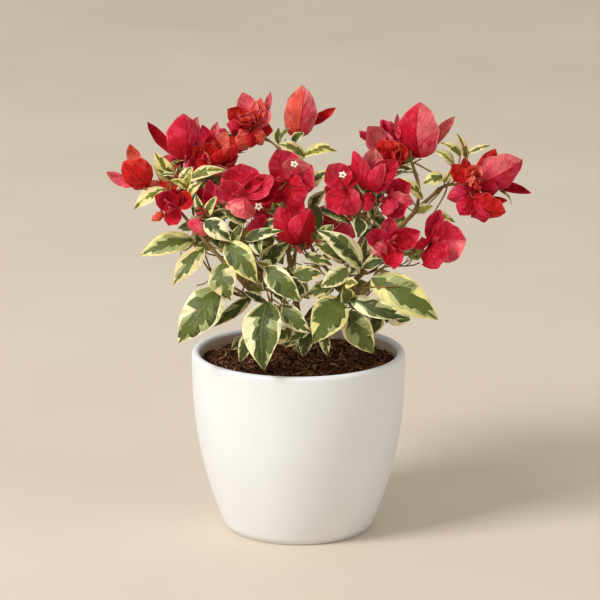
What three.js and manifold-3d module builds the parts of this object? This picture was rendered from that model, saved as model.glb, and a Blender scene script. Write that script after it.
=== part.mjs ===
// Variegated bougainvillea bush in a plain round-bellied pot, in millimetres, +Z up.
// The origin is the centre of the pot's flat underside, and the bush's front faces -Y.
// A short trunk forks into boughs, each bough carries a mass of twigs, leaves and bracts.
import * as THREE from "three";
import { mergeVertices } from "three/addons/utils/BufferGeometryUtils.js";
import Module from "manifold-3d";

const wasm = await Module();
wasm.setup();

// ---- driving dimensions ----
const pot = { height: 136.5, rimRadius: 80, footRadius: 54.5, bellyPower: 2.3, wall: 6, floor: 8 };
const potSegments = 28;
const soil = { centreTop: 129.2, edgeTop: 126, flatRadius: 28 };
const gap = 0.3; // clear distance between neighbouring solids
const trunk = {
  bend: [[2, 16], [2, 15], [3, 4], [0, 0]],
  top: 160,
  radii: [5.6, 4.2],
  flare: 2,
  flareHeight: 9,
};
const crownCentre = new THREE.Vector3(8, 12, 225);
const boughMesh = { sides: 8, steps: 8 };
const limbMesh = { sides: 6, steps: 5 };
const stemRadii = [1.35, 0.9]; // a mass's own stem, at its limb and at its heart
const shootRadii = [0.85, 0.55]; // the shoots that leave it
const leafShape = { stations: [[0.3, 1], [0.64, 0.78]], rootWidth: 1.3, thickness: 0.024, droop: 0.16 };
const youngLeafShape = { stations: [[0.42, 1]], rootWidth: 1.2, thickness: 0.026, droop: 0.1 };
const bractShape = { stations: [[0.34, 1], [0.7, 0.72]], rootWidth: 1.5, thickness: 0.03, droop: -0.1 };
const smallBractShape = { stations: [[0.45, 1]], rootWidth: 1.4, thickness: 0.034, droop: -0.08 };
const smallBractWidth = 19; // bracts narrower than this have the simpler outline
const smallLeaf = 18; // so have placed leaves shorter than this
const leafLengths = [26, 40];
const leafAspect = 0.6;
const leafSpacing = 15; // along a seeded shoot
const bractAspect = 0.82;
const goldenAngle = THREE.MathUtils.degToRad(137.5);

// Boughs and side limbs: each leaves its parent at a share of its length, bends by two
// control points and tapers to its tip, where it hands over to a mass.
const limbs = {
  left_bough: {
    on: "trunk", at: 0.8, bend: [[-12, -30, 166], [-34, -48, 190]],
    tip: [-76, -38, 238], radii: [2.8, 1.6],
  },
  right_bough: {
    on: "trunk", at: 0.84, bend: [[38, -8, 172], [52, -8, 215]],
    tip: [105, 0, 260], radii: [3.1, 1.7],
  },
  centre_bough: {
    on: "trunk", at: 0.95, bend: [[-4, 6, 190], [-12, 18, 228]],
    tip: [-14, 24, 262], radii: [2.8, 1.6],
  },
  back_left_bough: {
    on: "trunk", at: 0.72, bend: [[-8, 22, 172], [-40, 44, 190]],
    tip: [-50, 54, 228], radii: [2.6, 1.5],
  },
  back_right_bough: {
    on: "trunk", at: 0.78, bend: [[16, 20, 172], [44, 42, 190]],
    tip: [54, 54, 226], radii: [2.7, 1.5],
  },
  upper_left_limb: {
    on: "left_bough", at: 0.68, bend: [[-48, -8, 226], [-66, 0, 238]],
    tip: [-74, 2, 256], radii: [1.7, 1.3],
  },
  low_left_limb: {
    on: "left_bough", at: 0.42, bend: [[-38, -14, 182], [-50, -28, 184]],
    tip: [-56, -34, 196], radii: [1.7, 1.3],
  },
  centre_left_limb: {
    on: "left_bough", at: 0.56, bend: [[-34, -22, 206], [-38, -36, 216]],
    tip: [-41, -41, 232], radii: [1.8, 1.3],
  },
  low_front_limb: {
    on: "left_bough", at: 0.2, bend: [[-12, -14, 172], [-18, -36, 172]],
    tip: [-20, -44, 180], radii: [1.7, 1.3],
  },
  centre_front_limb: {
    on: "centre_bough", at: 0.36, bend: [[-6, -6, 204], [-4, -28, 208]],
    tip: [-2, -35, 222], radii: [1.8, 1.3],
  },
  centre_right_limb: {
    on: "right_bough", at: 0.5, bend: [[48, -18, 206], [50, -34, 214]],
    tip: [50, -37, 232], radii: [1.9, 1.3],
  },
  low_right_limb: {
    on: "right_bough", at: 0.3, bend: [[34, -18, 180], [40, -36, 174]],
    tip: [46, -44, 184], radii: [1.8, 1.3],
  },
  right_low_limb: {
    on: "right_bough", at: 0.66, bend: [[68, -14, 218], [80, -26, 212]],
    tip: [86, -32, 220], radii: [1.7, 1.3],
  },
  upper_right_limb: {
    on: "right_bough", at: 0.8, bend: [[90, -2, 248], [92, 0, 260]],
    tip: [85, 3, 276], radii: [1.7, 1.3],
  },
  back_limb: {
    on: "back_right_bough", at: 0.45, bend: [[26, 46, 186], [10, 66, 188]],
    tip: [6, 74, 212], radii: [1.8, 1.3],
  },
  left_side_limb: {
    on: "back_left_bough", at: 0.5, bend: [[-34, 28, 188], [-48, 20, 190]],
    tip: [-52, 14, 200], radii: [1.6, 1.2],
  },
  right_side_limb: {
    on: "back_right_bough", at: 0.5, bend: [[38, 28, 188], [52, 20, 188]],
    tip: [58, 12, 196], radii: [1.6, 1.2],
  },
  low_back_left_limb: {
    on: "back_left_bough", at: 0.36, bend: [[-18, 36, 172], [-30, 54, 168]],
    tip: [-38, 60, 178], radii: [1.6, 1.2],
  },
  low_back_right_limb: {
    on: "back_right_bough", at: 0.3, bend: [[22, 22, 166], [44, 36, 162]],
    tip: [54, 48, 173], radii: [1.6, 1.2],
  },
};

// Masses: the limb that carries each, the heart and reach of its space, and its own seed.
// A bloom is at [x, y, z, bract length], and its tips are [x, y, z, width] of each bract.
// A leaf is [root, tip, width]. Seeded shoots fill the rest of the space, and where the mass
// is flowering each ends in a bloom.
const masses = {
  far_left_mass: {
    limb: "left_bough", heart: [-102, -16, 256], reach: [48, 42, 46], seed: 11, shoots: 1,
    blooms: [
      { at: [-111, -22, 265, 27],
        tips: [[-128, -30, 287, 23], [-102, -16, 268, 9], [-124, -16, 297, 11], [-141, -20, 277, 9]] },
      { at: [-89, -34, 254, 17],
        tips: [[-105, -40, 263, 16], [-95, -44, 242, 13], [-79, -38, 265, 14]] },
      { at: [-82, -38, 244, 18], tips: [[-67, -42, 234, 11]] },
    ],
    leaves: [
      [[-94, -8, 268], [-106, -10, 290], 14], [[-98, -26, 265], [-121, -32, 251], 13],
    ],
  },
  upper_left_mass: {
    limb: "upper_left_limb", heart: [-76, 8, 276], reach: [46, 42, 48], seed: 12, shoots: 1,
    blooms: [
      { at: [-84, 2, 280, 32],
        tips: [[-85, 8, 315, 27], [-75, 16, 311, 16], [-76, -6, 271, 9], [-112, 12, 308, 9]] },
      { at: [-66, -6, 280, 25], tips: [[-71, 6, 307, 14], [-53, -4, 304, 15], [-60, 8, 309, 11]] },
      { at: [-67, -36, 250, 22], tips: [[-65, -36, 275, 12], [-74, -32, 268, 11]] },
    ],
    leaves: [
      [[-80, -26, 272], [-52, -30, 280], 10],
    ],
  },
  centre_left_mass: {
    limb: "centre_left_limb", heart: [-42, -44, 250], reach: [40, 38, 48], seed: 13, shoots: 1,
    blooms: [
      { at: [-40, -48, 266, 24],
        tips: [[-42, -42, 288, 31], [-14, -52, 273, 20], [-18, -58, 281, 17], [-39, -62, 251, 23]] },
      { at: [-8, -40, 274, 21],
        tips: [[10, -44, 287, 29], [-16, -36, 297, 24], [0, -54, 259, 26], [-24, -46, 262, 20]] },
    ],
    leaves: [
      [[-68, -44, 245], [-49, -52, 232], 15], [[-52, -48, 230], [-30, -62, 203], 20],
      [[-39, -50, 233], [-11, -56, 241], 9], [[-27, -38, 210], [-6, -44, 230], 14],
    ],
  },
  low_left_mass: {
    limb: "low_left_limb", heart: [-64, -44, 204], reach: [48, 42, 52], seed: 14, shoots: 0,
    blooms: [],
    leaves: [
      [[-78, -26, 227], [-117, -36, 217], 18], [[-70, -36, 223], [-92, -48, 198], 17],
      [[-53, -52, 190], [-87, -66, 156], 30], [[-56, -52, 215], [-49, -66, 191], 22],
      [[-35, -38, 187], [-64, -48, 166], 10],
    ],
  },
  low_front_mass: {
    limb: "low_front_limb", heart: [-20, -52, 188], reach: [44, 44, 56], seed: 15, shoots: 1,
    blooms: [],
    leaves: [
      [[-23, -64, 189], [-25, -86, 144], 29], [[-34, -56, 166], [-43, -62, 143], 11],
      [[-24, -52, 212], [2, -66, 190], 18], [[-11, -58, 185], [9, -68, 167], 15],
    ],
  },
  low_right_mass: {
    limb: "low_right_limb", heart: [44, -48, 192], reach: [64, 42, 50], seed: 16, shoots: 2,
    blooms: [],
    leaves: [
      [[29, -56, 190], [11, -78, 162], 27], [[38, -52, 186], [81, -66, 176], 14],
      [[54, -46, 198], [102, -60, 173], 22], [[36, -50, 178], [55, -58, 149], 22],
      [[35, -56, 213], [16, -62, 200], 14],
    ],
  },
  centre_front_mass: {
    limb: "centre_front_limb", heart: [-2, -40, 246], reach: [40, 38, 52], seed: 17, shoots: 2,
    blooms: [
      { at: [-2, -48, 228, 34],
        tips: [[9, -56, 257, 20], [-14, -52, 258, 19], [-2, -44, 257, 19], [4, -58, 263, 13],
          [-38, -50, 240, 9]] },
    ],
    leaves: [
      [[-3, -48, 207], [18, -56, 209], 13], [[25, -48, 201], [4, -54, 191], 11],
    ],
  },
  centre_right_mass: {
    limb: "centre_right_limb", heart: [50, -40, 250], reach: [44, 36, 48], seed: 18, shoots: 1,
    blooms: [
      { at: [35, -46, 271, 20], tips: [[29, -56, 253, 27], [22, -46, 288, 21], [43, -50, 253, 16]] },
      { at: [53, -42, 267, 27], tips: [[54, -36, 299, 19], [72, -40, 290, 18], [40, -40, 297, 14]] },
      { at: [65, -34, 262, 20], tips: [[76, -44, 248, 21], [82, -38, 272, 17], [85, -34, 257, 14]] },
    ],
    leaves: [
      [[46, -44, 211], [13, -54, 241], 17], [[35, -44, 215], [11, -50, 230], 12],
      [[17, -30, 251], [39, -36, 241], 10],
    ],
  },
  right_low_mass: {
    limb: "right_low_limb", heart: [84, -36, 226], reach: [44, 36, 40], seed: 19, shoots: 0,
    blooms: [
      { at: [66, -44, 229, 20], tips: [[89, -46, 238, 17], [70, -56, 212, 16], [49, -50, 236, 16]] },
      { at: [97, -34, 227, 22], tips: [[123, -40, 230, 31], [102, -46, 210, 25], [104, -30, 251, 14]] },
    ],
    leaves: [],
  },
  top_mass: {
    limb: "centre_bough", heart: [-16, 30, 286], reach: [54, 42, 42], seed: 20, shoots: 1,
    blooms: [
      { at: [-36, 30, 300, 21],
        tips: [[-42, 44, 324, 17], [-53, 36, 313, 16], [-28, 40, 321, 12], [-21, 42, 325, 6]] },
      { at: [-1, 42, 290, 35], tips: [[3, 46, 329, 25], [-5, 52, 317, 20], [28, 46, 312, 8]] },
    ],
    leaves: [
      [[4, 20, 279], [-16, 16, 290], 14], [[4, 22, 280], [29, 20, 284], 12],
    ],
  },
  upper_right_mass: {
    limb: "upper_right_limb", heart: [85, 5, 290], reach: [46, 40, 44], seed: 21, shoots: 0,
    blooms: [
      { at: [71, 2, 283, 21],
        tips: [[51, 0, 307, 20], [61, -4, 298, 18], [69, 6, 305, 14], [73, 8, 315, 5]] },
      { at: [91, 4, 282, 38], tips: [[90, 6, 324, 31], [83, 14, 312, 20], [116, 12, 312, 9]] },
    ],
    leaves: [
      [[92, -2, 253], [73, -8, 270], 10],
    ],
  },
  far_right_mass: {
    limb: "right_bough", heart: [132, 2, 262], reach: [48, 40, 42], seed: 22, shoots: 1,
    blooms: [
      { at: [132, 2, 262, 28],
        tips: [[166, 4, 281, 28], [146, 6, 289, 15], [110, -2, 253, 15], [173, 6, 255, 8]] },
      { at: [126, -8, 267, 17], tips: [[113, -8, 280, 13], [134, -10, 280, 13], [122, -4, 284, 10]] },
      { at: [129, -8, 255, 23],
        tips: [[153, -14, 245, 19], [138, -12, 237, 23], [119, -14, 243, 15], [155, -4, 252, 7]] },
    ],
    leaves: [],
  },
  back_left_mass: {
    limb: "back_left_bough", heart: [-60, 62, 248], reach: [56, 46, 50],
    seed: 23, shoots: 5, flowering: true, blooms: [], leaves: [],
  },
  back_right_mass: {
    limb: "back_right_bough", heart: [66, 58, 246], reach: [60, 46, 50],
    seed: 24, shoots: 6, flowering: true, blooms: [], leaves: [],
  },
  back_mass: {
    limb: "back_limb", heart: [4, 84, 226], reach: [46, 40, 42],
    seed: 25, shoots: 5, flowering: true, blooms: [], leaves: [],
  },
  left_side_mass: {
    limb: "left_side_limb", heart: [-58, 12, 218], reach: [34, 40, 44],
    seed: 28, shoots: 4, blooms: [], leaves: [],
  },
  right_side_mass: {
    limb: "right_side_limb", heart: [62, 8, 212], reach: [34, 38, 42],
    seed: 29, shoots: 4, blooms: [], leaves: [],
  },
  low_back_left_mass: {
    limb: "low_back_left_limb", heart: [-44, 66, 186], reach: [56, 40, 40],
    seed: 26, shoots: 5, blooms: [], leaves: [],
  },
  low_back_right_mass: {
    limb: "low_back_right_limb", heart: [60, 56, 182], reach: [56, 42, 40],
    seed: 27, shoots: 4, blooms: [], leaves: [],
  },
};

const finishes = {
  glaze: { color: 0xe2dcd6, roughness: 0.5, metalness: 0 },
  soil: { color: 0x3e2110, roughness: 1, metalness: 0 },
  bark: { color: 0x6a5434, roughness: 0.85, metalness: 0 },
  foliage: { color: 0x7c2a2c, roughness: 0.7, metalness: 0 },
};

// ---- small helpers ----
const vec = ([x, y, z]) => new THREE.Vector3(x, y, z);
const up = new THREE.Vector3(0, 0, 1);
const forwards = new THREE.Vector3(0, -1, 0.15);

function seededRandom(seed) {
  let state = seed;
  return () => {
    state = (state + 0x6d2b79f5) | 0;
    let mixed = Math.imul(state ^ (state >>> 15), 1 | state);
    mixed = (mixed + Math.imul(mixed ^ (mixed >>> 7), 61 | mixed)) ^ mixed;
    return ((mixed ^ (mixed >>> 14)) >>> 0) / 4294967296;
  };
}

const between = (random, [low, high]) => low + (high - low) * random();

function sideways(direction, wanted) {
  const flat = wanted.clone().addScaledVector(direction, -wanted.dot(direction));
  if (flat.lengthSq() < 1e-4) flat.set(1, 0, 0).addScaledVector(direction, -direction.x);
  return flat.normalize();
}

// A closed skin over rings of points; a ring of one point is a sharp end.
function loft(rings) {
  const points = rings.flat();
  const starts = rings.map((_, i) => rings.slice(0, i).reduce((sum, ring) => sum + ring.length, 0));
  const index = [];
  for (let i = 0; i < rings.length - 1; i += 1) {
    const sides = rings[i].length;
    for (let j = 0; j < sides; j += 1) {
      const next = (j + 1) % sides;
      const low = [starts[i] + j, starts[i] + next];
      if (rings[i + 1].length === 1) {
        index.push(low[0], low[1], starts[i + 1]);
      } else {
        const high = [starts[i + 1] + j, starts[i + 1] + next];
        index.push(low[0], low[1], high[1], low[0], high[1], high[0]);
      }
    }
  }
  const first = starts[0];
  const last = starts.at(-1);
  for (let j = 1; j < rings[0].length - 1; j += 1) index.push(first, first + j + 1, first + j);
  for (let j = 1; j < rings.at(-1).length - 1; j += 1) index.push(last, last + j, last + j + 1);
  const geometry = new THREE.BufferGeometry().setFromPoints(points);
  geometry.setIndex(index);
  return geometry;
}

function solidOf(geometry) {
  const bare = geometry.clone();
  bare.deleteAttribute("normal");
  bare.deleteAttribute("uv");
  const merged = mergeVertices(bare, 1e-3);
  return new wasm.Manifold(new wasm.Mesh({
    numProp: 3,
    vertProperties: new Float32Array(merged.attributes.position.array),
    triVerts: new Uint32Array(merged.index.array),
  }));
}

function geometryOf(solid) {
  const mesh = solid.getMesh();
  const geometry = new THREE.BufferGeometry();
  geometry.setAttribute("position", new THREE.BufferAttribute(mesh.vertProperties, mesh.numProp));
  geometry.setIndex(new THREE.BufferAttribute(mesh.triVerts, 1));
  return geometry;
}

// Whether each edge joins just two faces, also where the points of two sheets fall together.
function isSound(geometry) {
  const place = geometry.attributes.position;
  const index = geometry.index.array;
  const label = (i) => [place.getX(i), place.getY(i), place.getZ(i)].map((v) => v.toFixed(3)).join();
  const facesAt = new Map();
  for (let i = 0; i < index.length; i += 3) {
    for (let j = 0; j < 3; j += 1) {
      const edge = [label(index[i + j]), label(index[i + ((j + 1) % 3)])].sort().join(" ");
      facesAt.set(edge, (facesAt.get(edge) ?? 0) + 1);
    }
  }
  return [...facesAt.values()].every((faces) => faces === 2);
}

// The largest body of a fused solid, with its near points drawn together a little more until
// it is sound. Loose scraps and sealed hollows that this parts off are left out.
function tidy(solid) {
  let body = solid;
  for (const nearness of [0.02, 0.03, 0.045, 0.06, 0.08, 0.1, 0.13]) {
    body = solid.simplify(nearness);
    for (let pass = 0; pass < 2; pass += 1) {
      const bodies = solidOf(geometryOf(body)).decompose();
      body = bodies.reduce((best, other) => (other.volume() > best.volume() ? other : best));
    }
    if (isSound(geometryOf(body))) break;
  }
  return body;
}

// ---- limbs ----
// A tapering tube along a curve; spread widens or narrows it by its share of the length.
function taperedTube(curve, steps, sides, radiusAt) {
  const frames = curve.computeFrenetFrames(steps, false);
  const rings = [];
  for (let i = 0; i <= steps; i += 1) {
    const centre = curve.getPointAt(i / steps);
    const radius = radiusAt(i / steps);
    const ring = [];
    for (let j = 0; j < sides; j += 1) {
      const angle = (2 * Math.PI * j) / sides;
      const offset = frames.normals[i].clone().multiplyScalar(radius * Math.cos(angle));
      offset.addScaledVector(frames.binormals[i], radius * Math.sin(angle));
      ring.push(centre.clone().add(offset));
    }
    rings.push(ring);
  }
  return solidOf(loft(rings));
}

const taper = ([foot, tip], share) => foot + (tip - foot) * share;

function trunkCurve() {
  const foot = soil.centreTop + gap;
  const rise = (trunk.top - foot) / (trunk.bend.length - 1);
  const points = trunk.bend.map(([x, y], i) => new THREE.Vector3(x, y, foot + rise * i));
  return new THREE.CubicBezierCurve3(...points);
}

function trunkRadius(share) {
  const rise = (trunk.top - soil.centreTop) * share;
  return taper(trunk.radii, share) + trunk.flare * Math.exp(-rise / (trunk.flareHeight / 2));
}

// The root flare stands on the soil with a flat cut, so its lowest ring is level.
function trunkSolid(curve, extra) {
  const tube = taperedTube(curve, boughMesh.steps, 12, (share) => trunkRadius(share) + extra);
  return tube.trimByPlane([0, 0, 1], soil.centreTop + gap - extra);
}

function growLimbs() {
  const grown = { trunk: { curve: trunkCurve(), radiusAt: trunkRadius } };
  grown.trunk.solid = trunkSolid(grown.trunk.curve, 0);
  grown.trunk.room = trunkSolid(grown.trunk.curve, gap);
  for (const [name, limb] of Object.entries(limbs)) {
    const start = grown[limb.on].curve.getPointAt(limb.at);
    const curve = new THREE.CubicBezierCurve3(start, vec(limb.bend[0]), vec(limb.bend[1]), vec(limb.tip));
    const radiusAt = (share) => taper(limb.radii, share);
    const { sides, steps } = limb.on === "trunk" ? boughMesh : limbMesh;
    let solid = taperedTube(curve, steps, sides, radiusAt);
    for (const earlier of Object.values(grown)) solid = solid.subtract(earlier.room);
    const room = taperedTube(curve, steps, sides, (share) => radiusAt(share) + gap);
    grown[name] = { curve, radiusAt, solid: tidy(solid), room };
  }
  return grown;
}

// ---- leaves, bracts and twigs ----
// A blade is a three-edged skin: two margins and a keel under the midrib, root sunk in its twig.
function blade(root, tip, facing, width, shape) {
  const run = tip.clone().sub(root);
  const length = run.length();
  const heading = run.clone().normalize();
  const normal = sideways(heading, facing);
  const across = new THREE.Vector3().crossVectors(normal, heading);
  const ringAt = (share, half, keel) => {
    const lift = shape.droop * length * 4 * share * (1 - share);
    const middle = root.clone().addScaledVector(run, share).addScaledVector(normal, lift);
    return [
      middle.clone().addScaledVector(across, half),
      middle.clone().addScaledVector(across, -half),
      middle.clone().addScaledVector(normal, -keel),
    ];
  };
  const keel = length * shape.thickness;
  const rings = [ringAt(0, shape.rootWidth / 2, shape.rootWidth)];
  for (const [share, spread] of shape.stations) rings.push(ringAt(share, (width / 2) * spread, keel));
  rings.push([tip.clone()]);
  return solidOf(loft(rings));
}

// A bloom's bracts, one blade each, rooted a little behind its heart. Listed tips belong to a
// bloom that looks forwards, and without them three tips spread about the bloom's own facing.
function bloomBracts(bloom, facing, random) {
  const heart = vec(bloom.at);
  const size = bloom.at[3];
  const tips = (bloom.tips ?? []).map((tip) => ({ place: vec(tip), width: tip[3] }));
  const across = tips.length ? facing.clone().multiplyScalar(0.35).add(forwards) : facing;
  const turn = random() * 2 * Math.PI;
  const first = sideways(facing, up);
  const second = new THREE.Vector3().crossVectors(facing, first);
  const spread = bloom.tips ? 0 : 3;
  for (let i = 0; i < spread; i += 1) {
    const angle = turn + (i * 2 * Math.PI) / spread;
    const open = between(random, [0.75, 1.15]);
    const place = first.clone().multiplyScalar(Math.cos(angle)).addScaledVector(second, Math.sin(angle));
    place.multiplyScalar(Math.sin(open)).addScaledVector(facing, Math.cos(open));
    tips.push({ place: place.multiplyScalar(size).add(heart), width: size * bractAspect });
  }
  return tips.map(({ place, width }, i) => {
    const sunk = -0.7 - 0.13 * i; // each root starts behind the heart on its own line
    const root = heart.clone().addScaledVector(place.clone().sub(heart).normalize(), sunk);
    root.addScaledVector(facing, -0.3);
    const shape = width < smallBractWidth ? smallBractShape : bractShape;
    return blade(root, place, across, width, shape);
  });
}

function twig(from, leaving, to, radii) {
  const run = to.clone().sub(from);
  const length = run.length();
  const first = from.clone().addScaledVector(leaving, length * 0.35);
  const arriving = run.normalize().addScaledVector(up, 0.35).normalize();
  const second = to.clone().addScaledVector(arriving, -length * 0.3);
  const curve = new THREE.CubicBezierCurve3(from, first, second, to);
  return { curve, length, solid: taperedTube(curve, 3, 3, (share) => taper(radii, share)) };
}

// ---- masses ----
function boxesApart(a, b) {
  const [one, two] = [a.boundingBox(), b.boundingBox()];
  return [0, 1, 2].some((k) => one.max[k] + gap < two.min[k] || two.max[k] + gap < one.min[k]);
}

function isClear(solid, others) {
  return others.every((other) => boxesApart(solid, other) || solid.minGap(other, 2 * gap) > gap * 0.9);
}

function insideSpace(point, mass) {
  const [x, y, z] = ["x", "y", "z"].map((axis, k) => (point[axis] - mass.heart[k]) / mass.reach[k]);
  return x * x + y * y + z * z < 1;
}

// Shoots leave the stem a little before its nearest point, so that they lean forwards.
function shootFrom(stem, target, random) {
  let share = 0;
  for (let step = 1; step <= 12; step += 1) {
    const better = stem.getPointAt(step / 12).distanceTo(target) < stem.getPointAt(share).distanceTo(target);
    if (better) share = step / 12;
  }
  const start = Math.max(0.12, share - 0.22) + between(random, [-0.06, 0.06]);
  return { from: stem.getPointAt(start), leaving: stem.getTangentAt(start) };
}

function outwardAt(point) {
  return point.clone().sub(crownCentre).normalize();
}

function growMass(mass, limb, others) {
  const random = seededRandom(mass.seed);
  const bloomRandom = seededRandom(mass.seed + 100);
  const heart = vec(mass.heart);
  const limbEnd = limb.curve.getPoint(1);
  const limbHeading = limb.curve.getTangent(1);
  const stemStart = limbEnd.clone().addScaledVector(limbHeading, gap);
  const stemRun = heart.distanceTo(stemStart);
  const stem = new THREE.CubicBezierCurve3(
    stemStart,
    stemStart.clone().addScaledVector(limbHeading, stemRun * 0.4),
    heart.clone().addScaledVector(outwardAt(heart), -stemRun * 0.3),
    heart,
  );
  const twigs = [taperedTube(stem, 4, 5, (share) => taper(stemRadii, share))];
  const blades = [];
  // What has a place of its own only keeps clear of limbs and other masses; what is seeded
  // also keeps clear of the mass's own blades and of every twig but the one it grows on.
  const keepPlaced = (solid, list) => {
    const free = isClear(solid, others);
    if (free) list.push(solid);
    return free;
  };
  const keepSeeded = (solid, list, strangers) => {
    const free = isClear(solid, [...others, ...blades, ...strangers]);
    if (free) list.push(solid);
    return free;
  };

  for (const bloom of mass.blooms) {
    const place = vec(bloom.at);
    const { from, leaving } = shootFrom(stem, place, random);
    const shoot = twig(from, leaving, place, shootRadii);
    const facing = outwardAt(place).add(new THREE.Vector3(0, -0.5, 0.2)).normalize();
    if (!keepPlaced(shoot.solid, twigs)) continue;
    for (const bract of bloomBracts(bloom, facing, bloomRandom)) keepPlaced(bract, blades);
  }

  for (const [root, tip, width] of mass.leaves) {
    const base = vec(root);
    const { from, leaving } = shootFrom(stem, base, random);
    const shoot = twig(from, leaving, base, shootRadii);
    const run = vec(tip).sub(base).normalize();
    const facing = outwardAt(base).add(new THREE.Vector3(0, -0.4, 0.6));
    const shape = vec(tip).distanceTo(base) < smallLeaf ? youngLeafShape : leafShape;
    const leaf = blade(base.clone().addScaledVector(run, -0.6), vec(tip), facing, width, shape);
    if (keepPlaced(shoot.solid, twigs)) keepPlaced(leaf, blades);
  }

  for (let i = 0; i < mass.shoots; i += 1) {
    const turn = random() * 2 * Math.PI;
    const rise = between(random, [-0.55, 1]);
    const flat = Math.sqrt(1 - rise * rise);
    const direction = new THREE.Vector3(Math.cos(turn) * flat, Math.sin(turn) * flat, rise);
    direction.addScaledVector(outwardAt(heart), 0.7).normalize();
    const depth = between(random, [0.5, 0.8]);
    const target = heart.clone().add(direction.clone().multiply(vec(mass.reach)).multiplyScalar(depth));
    const { from, leaving } = shootFrom(stem, target, random);
    const shoot = twig(from, leaving, target, shootRadii);
    if (!keepSeeded(shoot.solid, twigs, [])) continue;
    const strangers = twigs.slice(0, -1);

    const count = Math.max(3, Math.round(shoot.length / leafSpacing));
    for (let k = 0; k < count; k += 1) {
      const share = 0.3 + (0.7 * (k + 0.6)) / count;
      const base = shoot.curve.getPoint(share);
      const along = shoot.curve.getTangent(share);
      const angle = turn + k * goldenAngle;
      const first = sideways(along, up);
      const second = new THREE.Vector3().crossVectors(along, first);
      const heading = first.multiplyScalar(Math.cos(angle)).addScaledVector(second, Math.sin(angle));
      heading.addScaledVector(along, 0.45).addScaledVector(outwardAt(base), 0.5);
      heading.addScaledVector(up, -0.15).normalize();
      const length = between(random, leafLengths);
      const tip = base.clone().addScaledVector(heading, length);
      const facing = outwardAt(base).addScaledVector(up, 0.9);
      if (!insideSpace(tip, mass)) continue;
      keepSeeded(blade(base, tip, facing, length * leafAspect, youngLeafShape), blades, strangers);
    }
    if (mass.flowering) {
      const flower = { at: [...target.toArray(), between(bloomRandom, [19, 27])] };
      const facing = direction.clone().addScaledVector(up, 0.3).normalize();
      keepSeeded(wasm.Manifold.union(bloomBracts(flower, facing, bloomRandom)), blades, strangers);
    }
  }
  return tidy(wasm.Manifold.union([...twigs, ...blades]));
}

// ---- pot and soil ----
function bellyRadius(z) {
  const share = Math.min(1, z / (pot.height - pot.wall));
  return pot.footRadius + (pot.rimRadius - pot.footRadius) * (1 - (1 - share) ** pot.bellyPower);
}

function bellyPoints(low, high, steps, inset) {
  return Array.from({ length: steps + 1 }, (_, i) => {
    const z = low + ((high - low) * i) / steps;
    return new THREE.Vector2(bellyRadius(z) - inset, z);
  });
}

// Turned about +Z: a lathe's own axis is Y, so it is stood up.
function turned(profile, segments) {
  return new THREE.LatheGeometry(profile, segments).rotateX(Math.PI / 2);
}

function potSolid() {
  const lipRadius = pot.wall / 2;
  const lipZ = pot.height - lipRadius;
  const lip = Array.from({ length: 4 }, (_, i) => {
    const angle = ((i + 1) / 5) * Math.PI;
    const out = pot.rimRadius - lipRadius + lipRadius * Math.cos(angle);
    return new THREE.Vector2(out, lipZ + lipRadius * Math.sin(angle));
  });
  const profile = [
    new THREE.Vector2(0, 0),
    new THREE.Vector2(pot.footRadius - 2, 0),
    ...bellyPoints(1.5, lipZ, 7, 0),
    ...lip,
    ...bellyPoints(pot.floor, lipZ, 4, pot.wall).reverse(),
    new THREE.Vector2(0, pot.floor),
  ];
  return solidOf(turned(profile, potSegments));
}

function soilSolid() {
  const inset = pot.wall + gap * 1.5; // the wall is faceted, so its flats stand a little further in
  const sides = bellyPoints(pot.floor + gap, soil.edgeTop, 4, inset);
  const profile = [
    new THREE.Vector2(0, pot.floor + gap),
    ...sides,
    new THREE.Vector2(soil.flatRadius, soil.centreTop),
    new THREE.Vector2(0, soil.centreTop),
  ];
  return solidOf(turned(profile, potSegments));
}

// ---- assembly ----
function part(name, solid, finish) {
  const mesh = new THREE.Mesh(geometryOf(solid), new THREE.MeshStandardMaterial(finish));
  mesh.name = name;
  return mesh;
}

const group = new THREE.Group();
const potBody = potSolid();
const soilBody = soilSolid();
group.add(part("pot", potBody, finishes.glaze), part("soil", soilBody, finishes.soil));

const grownLimbs = growLimbs();
const taken = [potBody, soilBody];
for (const [name, limb] of Object.entries(grownLimbs)) {
  group.add(part(name, limb.solid, finishes.bark));
  taken.push(limb.solid);
}
for (const [name, mass] of Object.entries(masses)) {
  const solid = growMass(mass, grownLimbs[mass.limb], taken);
  group.add(part(name, solid, finishes.foliage));
  taken.push(solid);
}

export default group;
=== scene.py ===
import math
import bpy
import numpy as np
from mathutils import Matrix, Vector, noise


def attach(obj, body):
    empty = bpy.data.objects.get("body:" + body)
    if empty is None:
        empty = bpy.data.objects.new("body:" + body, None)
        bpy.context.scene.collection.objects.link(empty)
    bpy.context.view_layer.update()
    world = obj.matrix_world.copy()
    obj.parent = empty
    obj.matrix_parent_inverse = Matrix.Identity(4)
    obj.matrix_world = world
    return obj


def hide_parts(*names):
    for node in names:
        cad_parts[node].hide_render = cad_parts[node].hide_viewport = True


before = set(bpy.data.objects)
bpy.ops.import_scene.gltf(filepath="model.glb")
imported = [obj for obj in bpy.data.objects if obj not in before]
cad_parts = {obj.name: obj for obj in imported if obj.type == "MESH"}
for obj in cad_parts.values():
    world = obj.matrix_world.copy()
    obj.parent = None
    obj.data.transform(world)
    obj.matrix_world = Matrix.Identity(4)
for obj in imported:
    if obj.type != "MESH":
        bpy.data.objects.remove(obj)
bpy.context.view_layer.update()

# The bush is laid out in millimetres and turned into metres as each mesh is built.
mm = 0.001
up = np.array([0.0, 0.0, 1.0])
goldenAngle = math.radians(137.5)
crownCentre = np.array([8.0, 12.0, 225.0])
view = {"lens": 216, "sensor": 36, "distance": 2.69, "down": 14.2, "lookAt": (0.0011, 0, 0.1748)}
viewDown = math.radians(view["down"])
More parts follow.
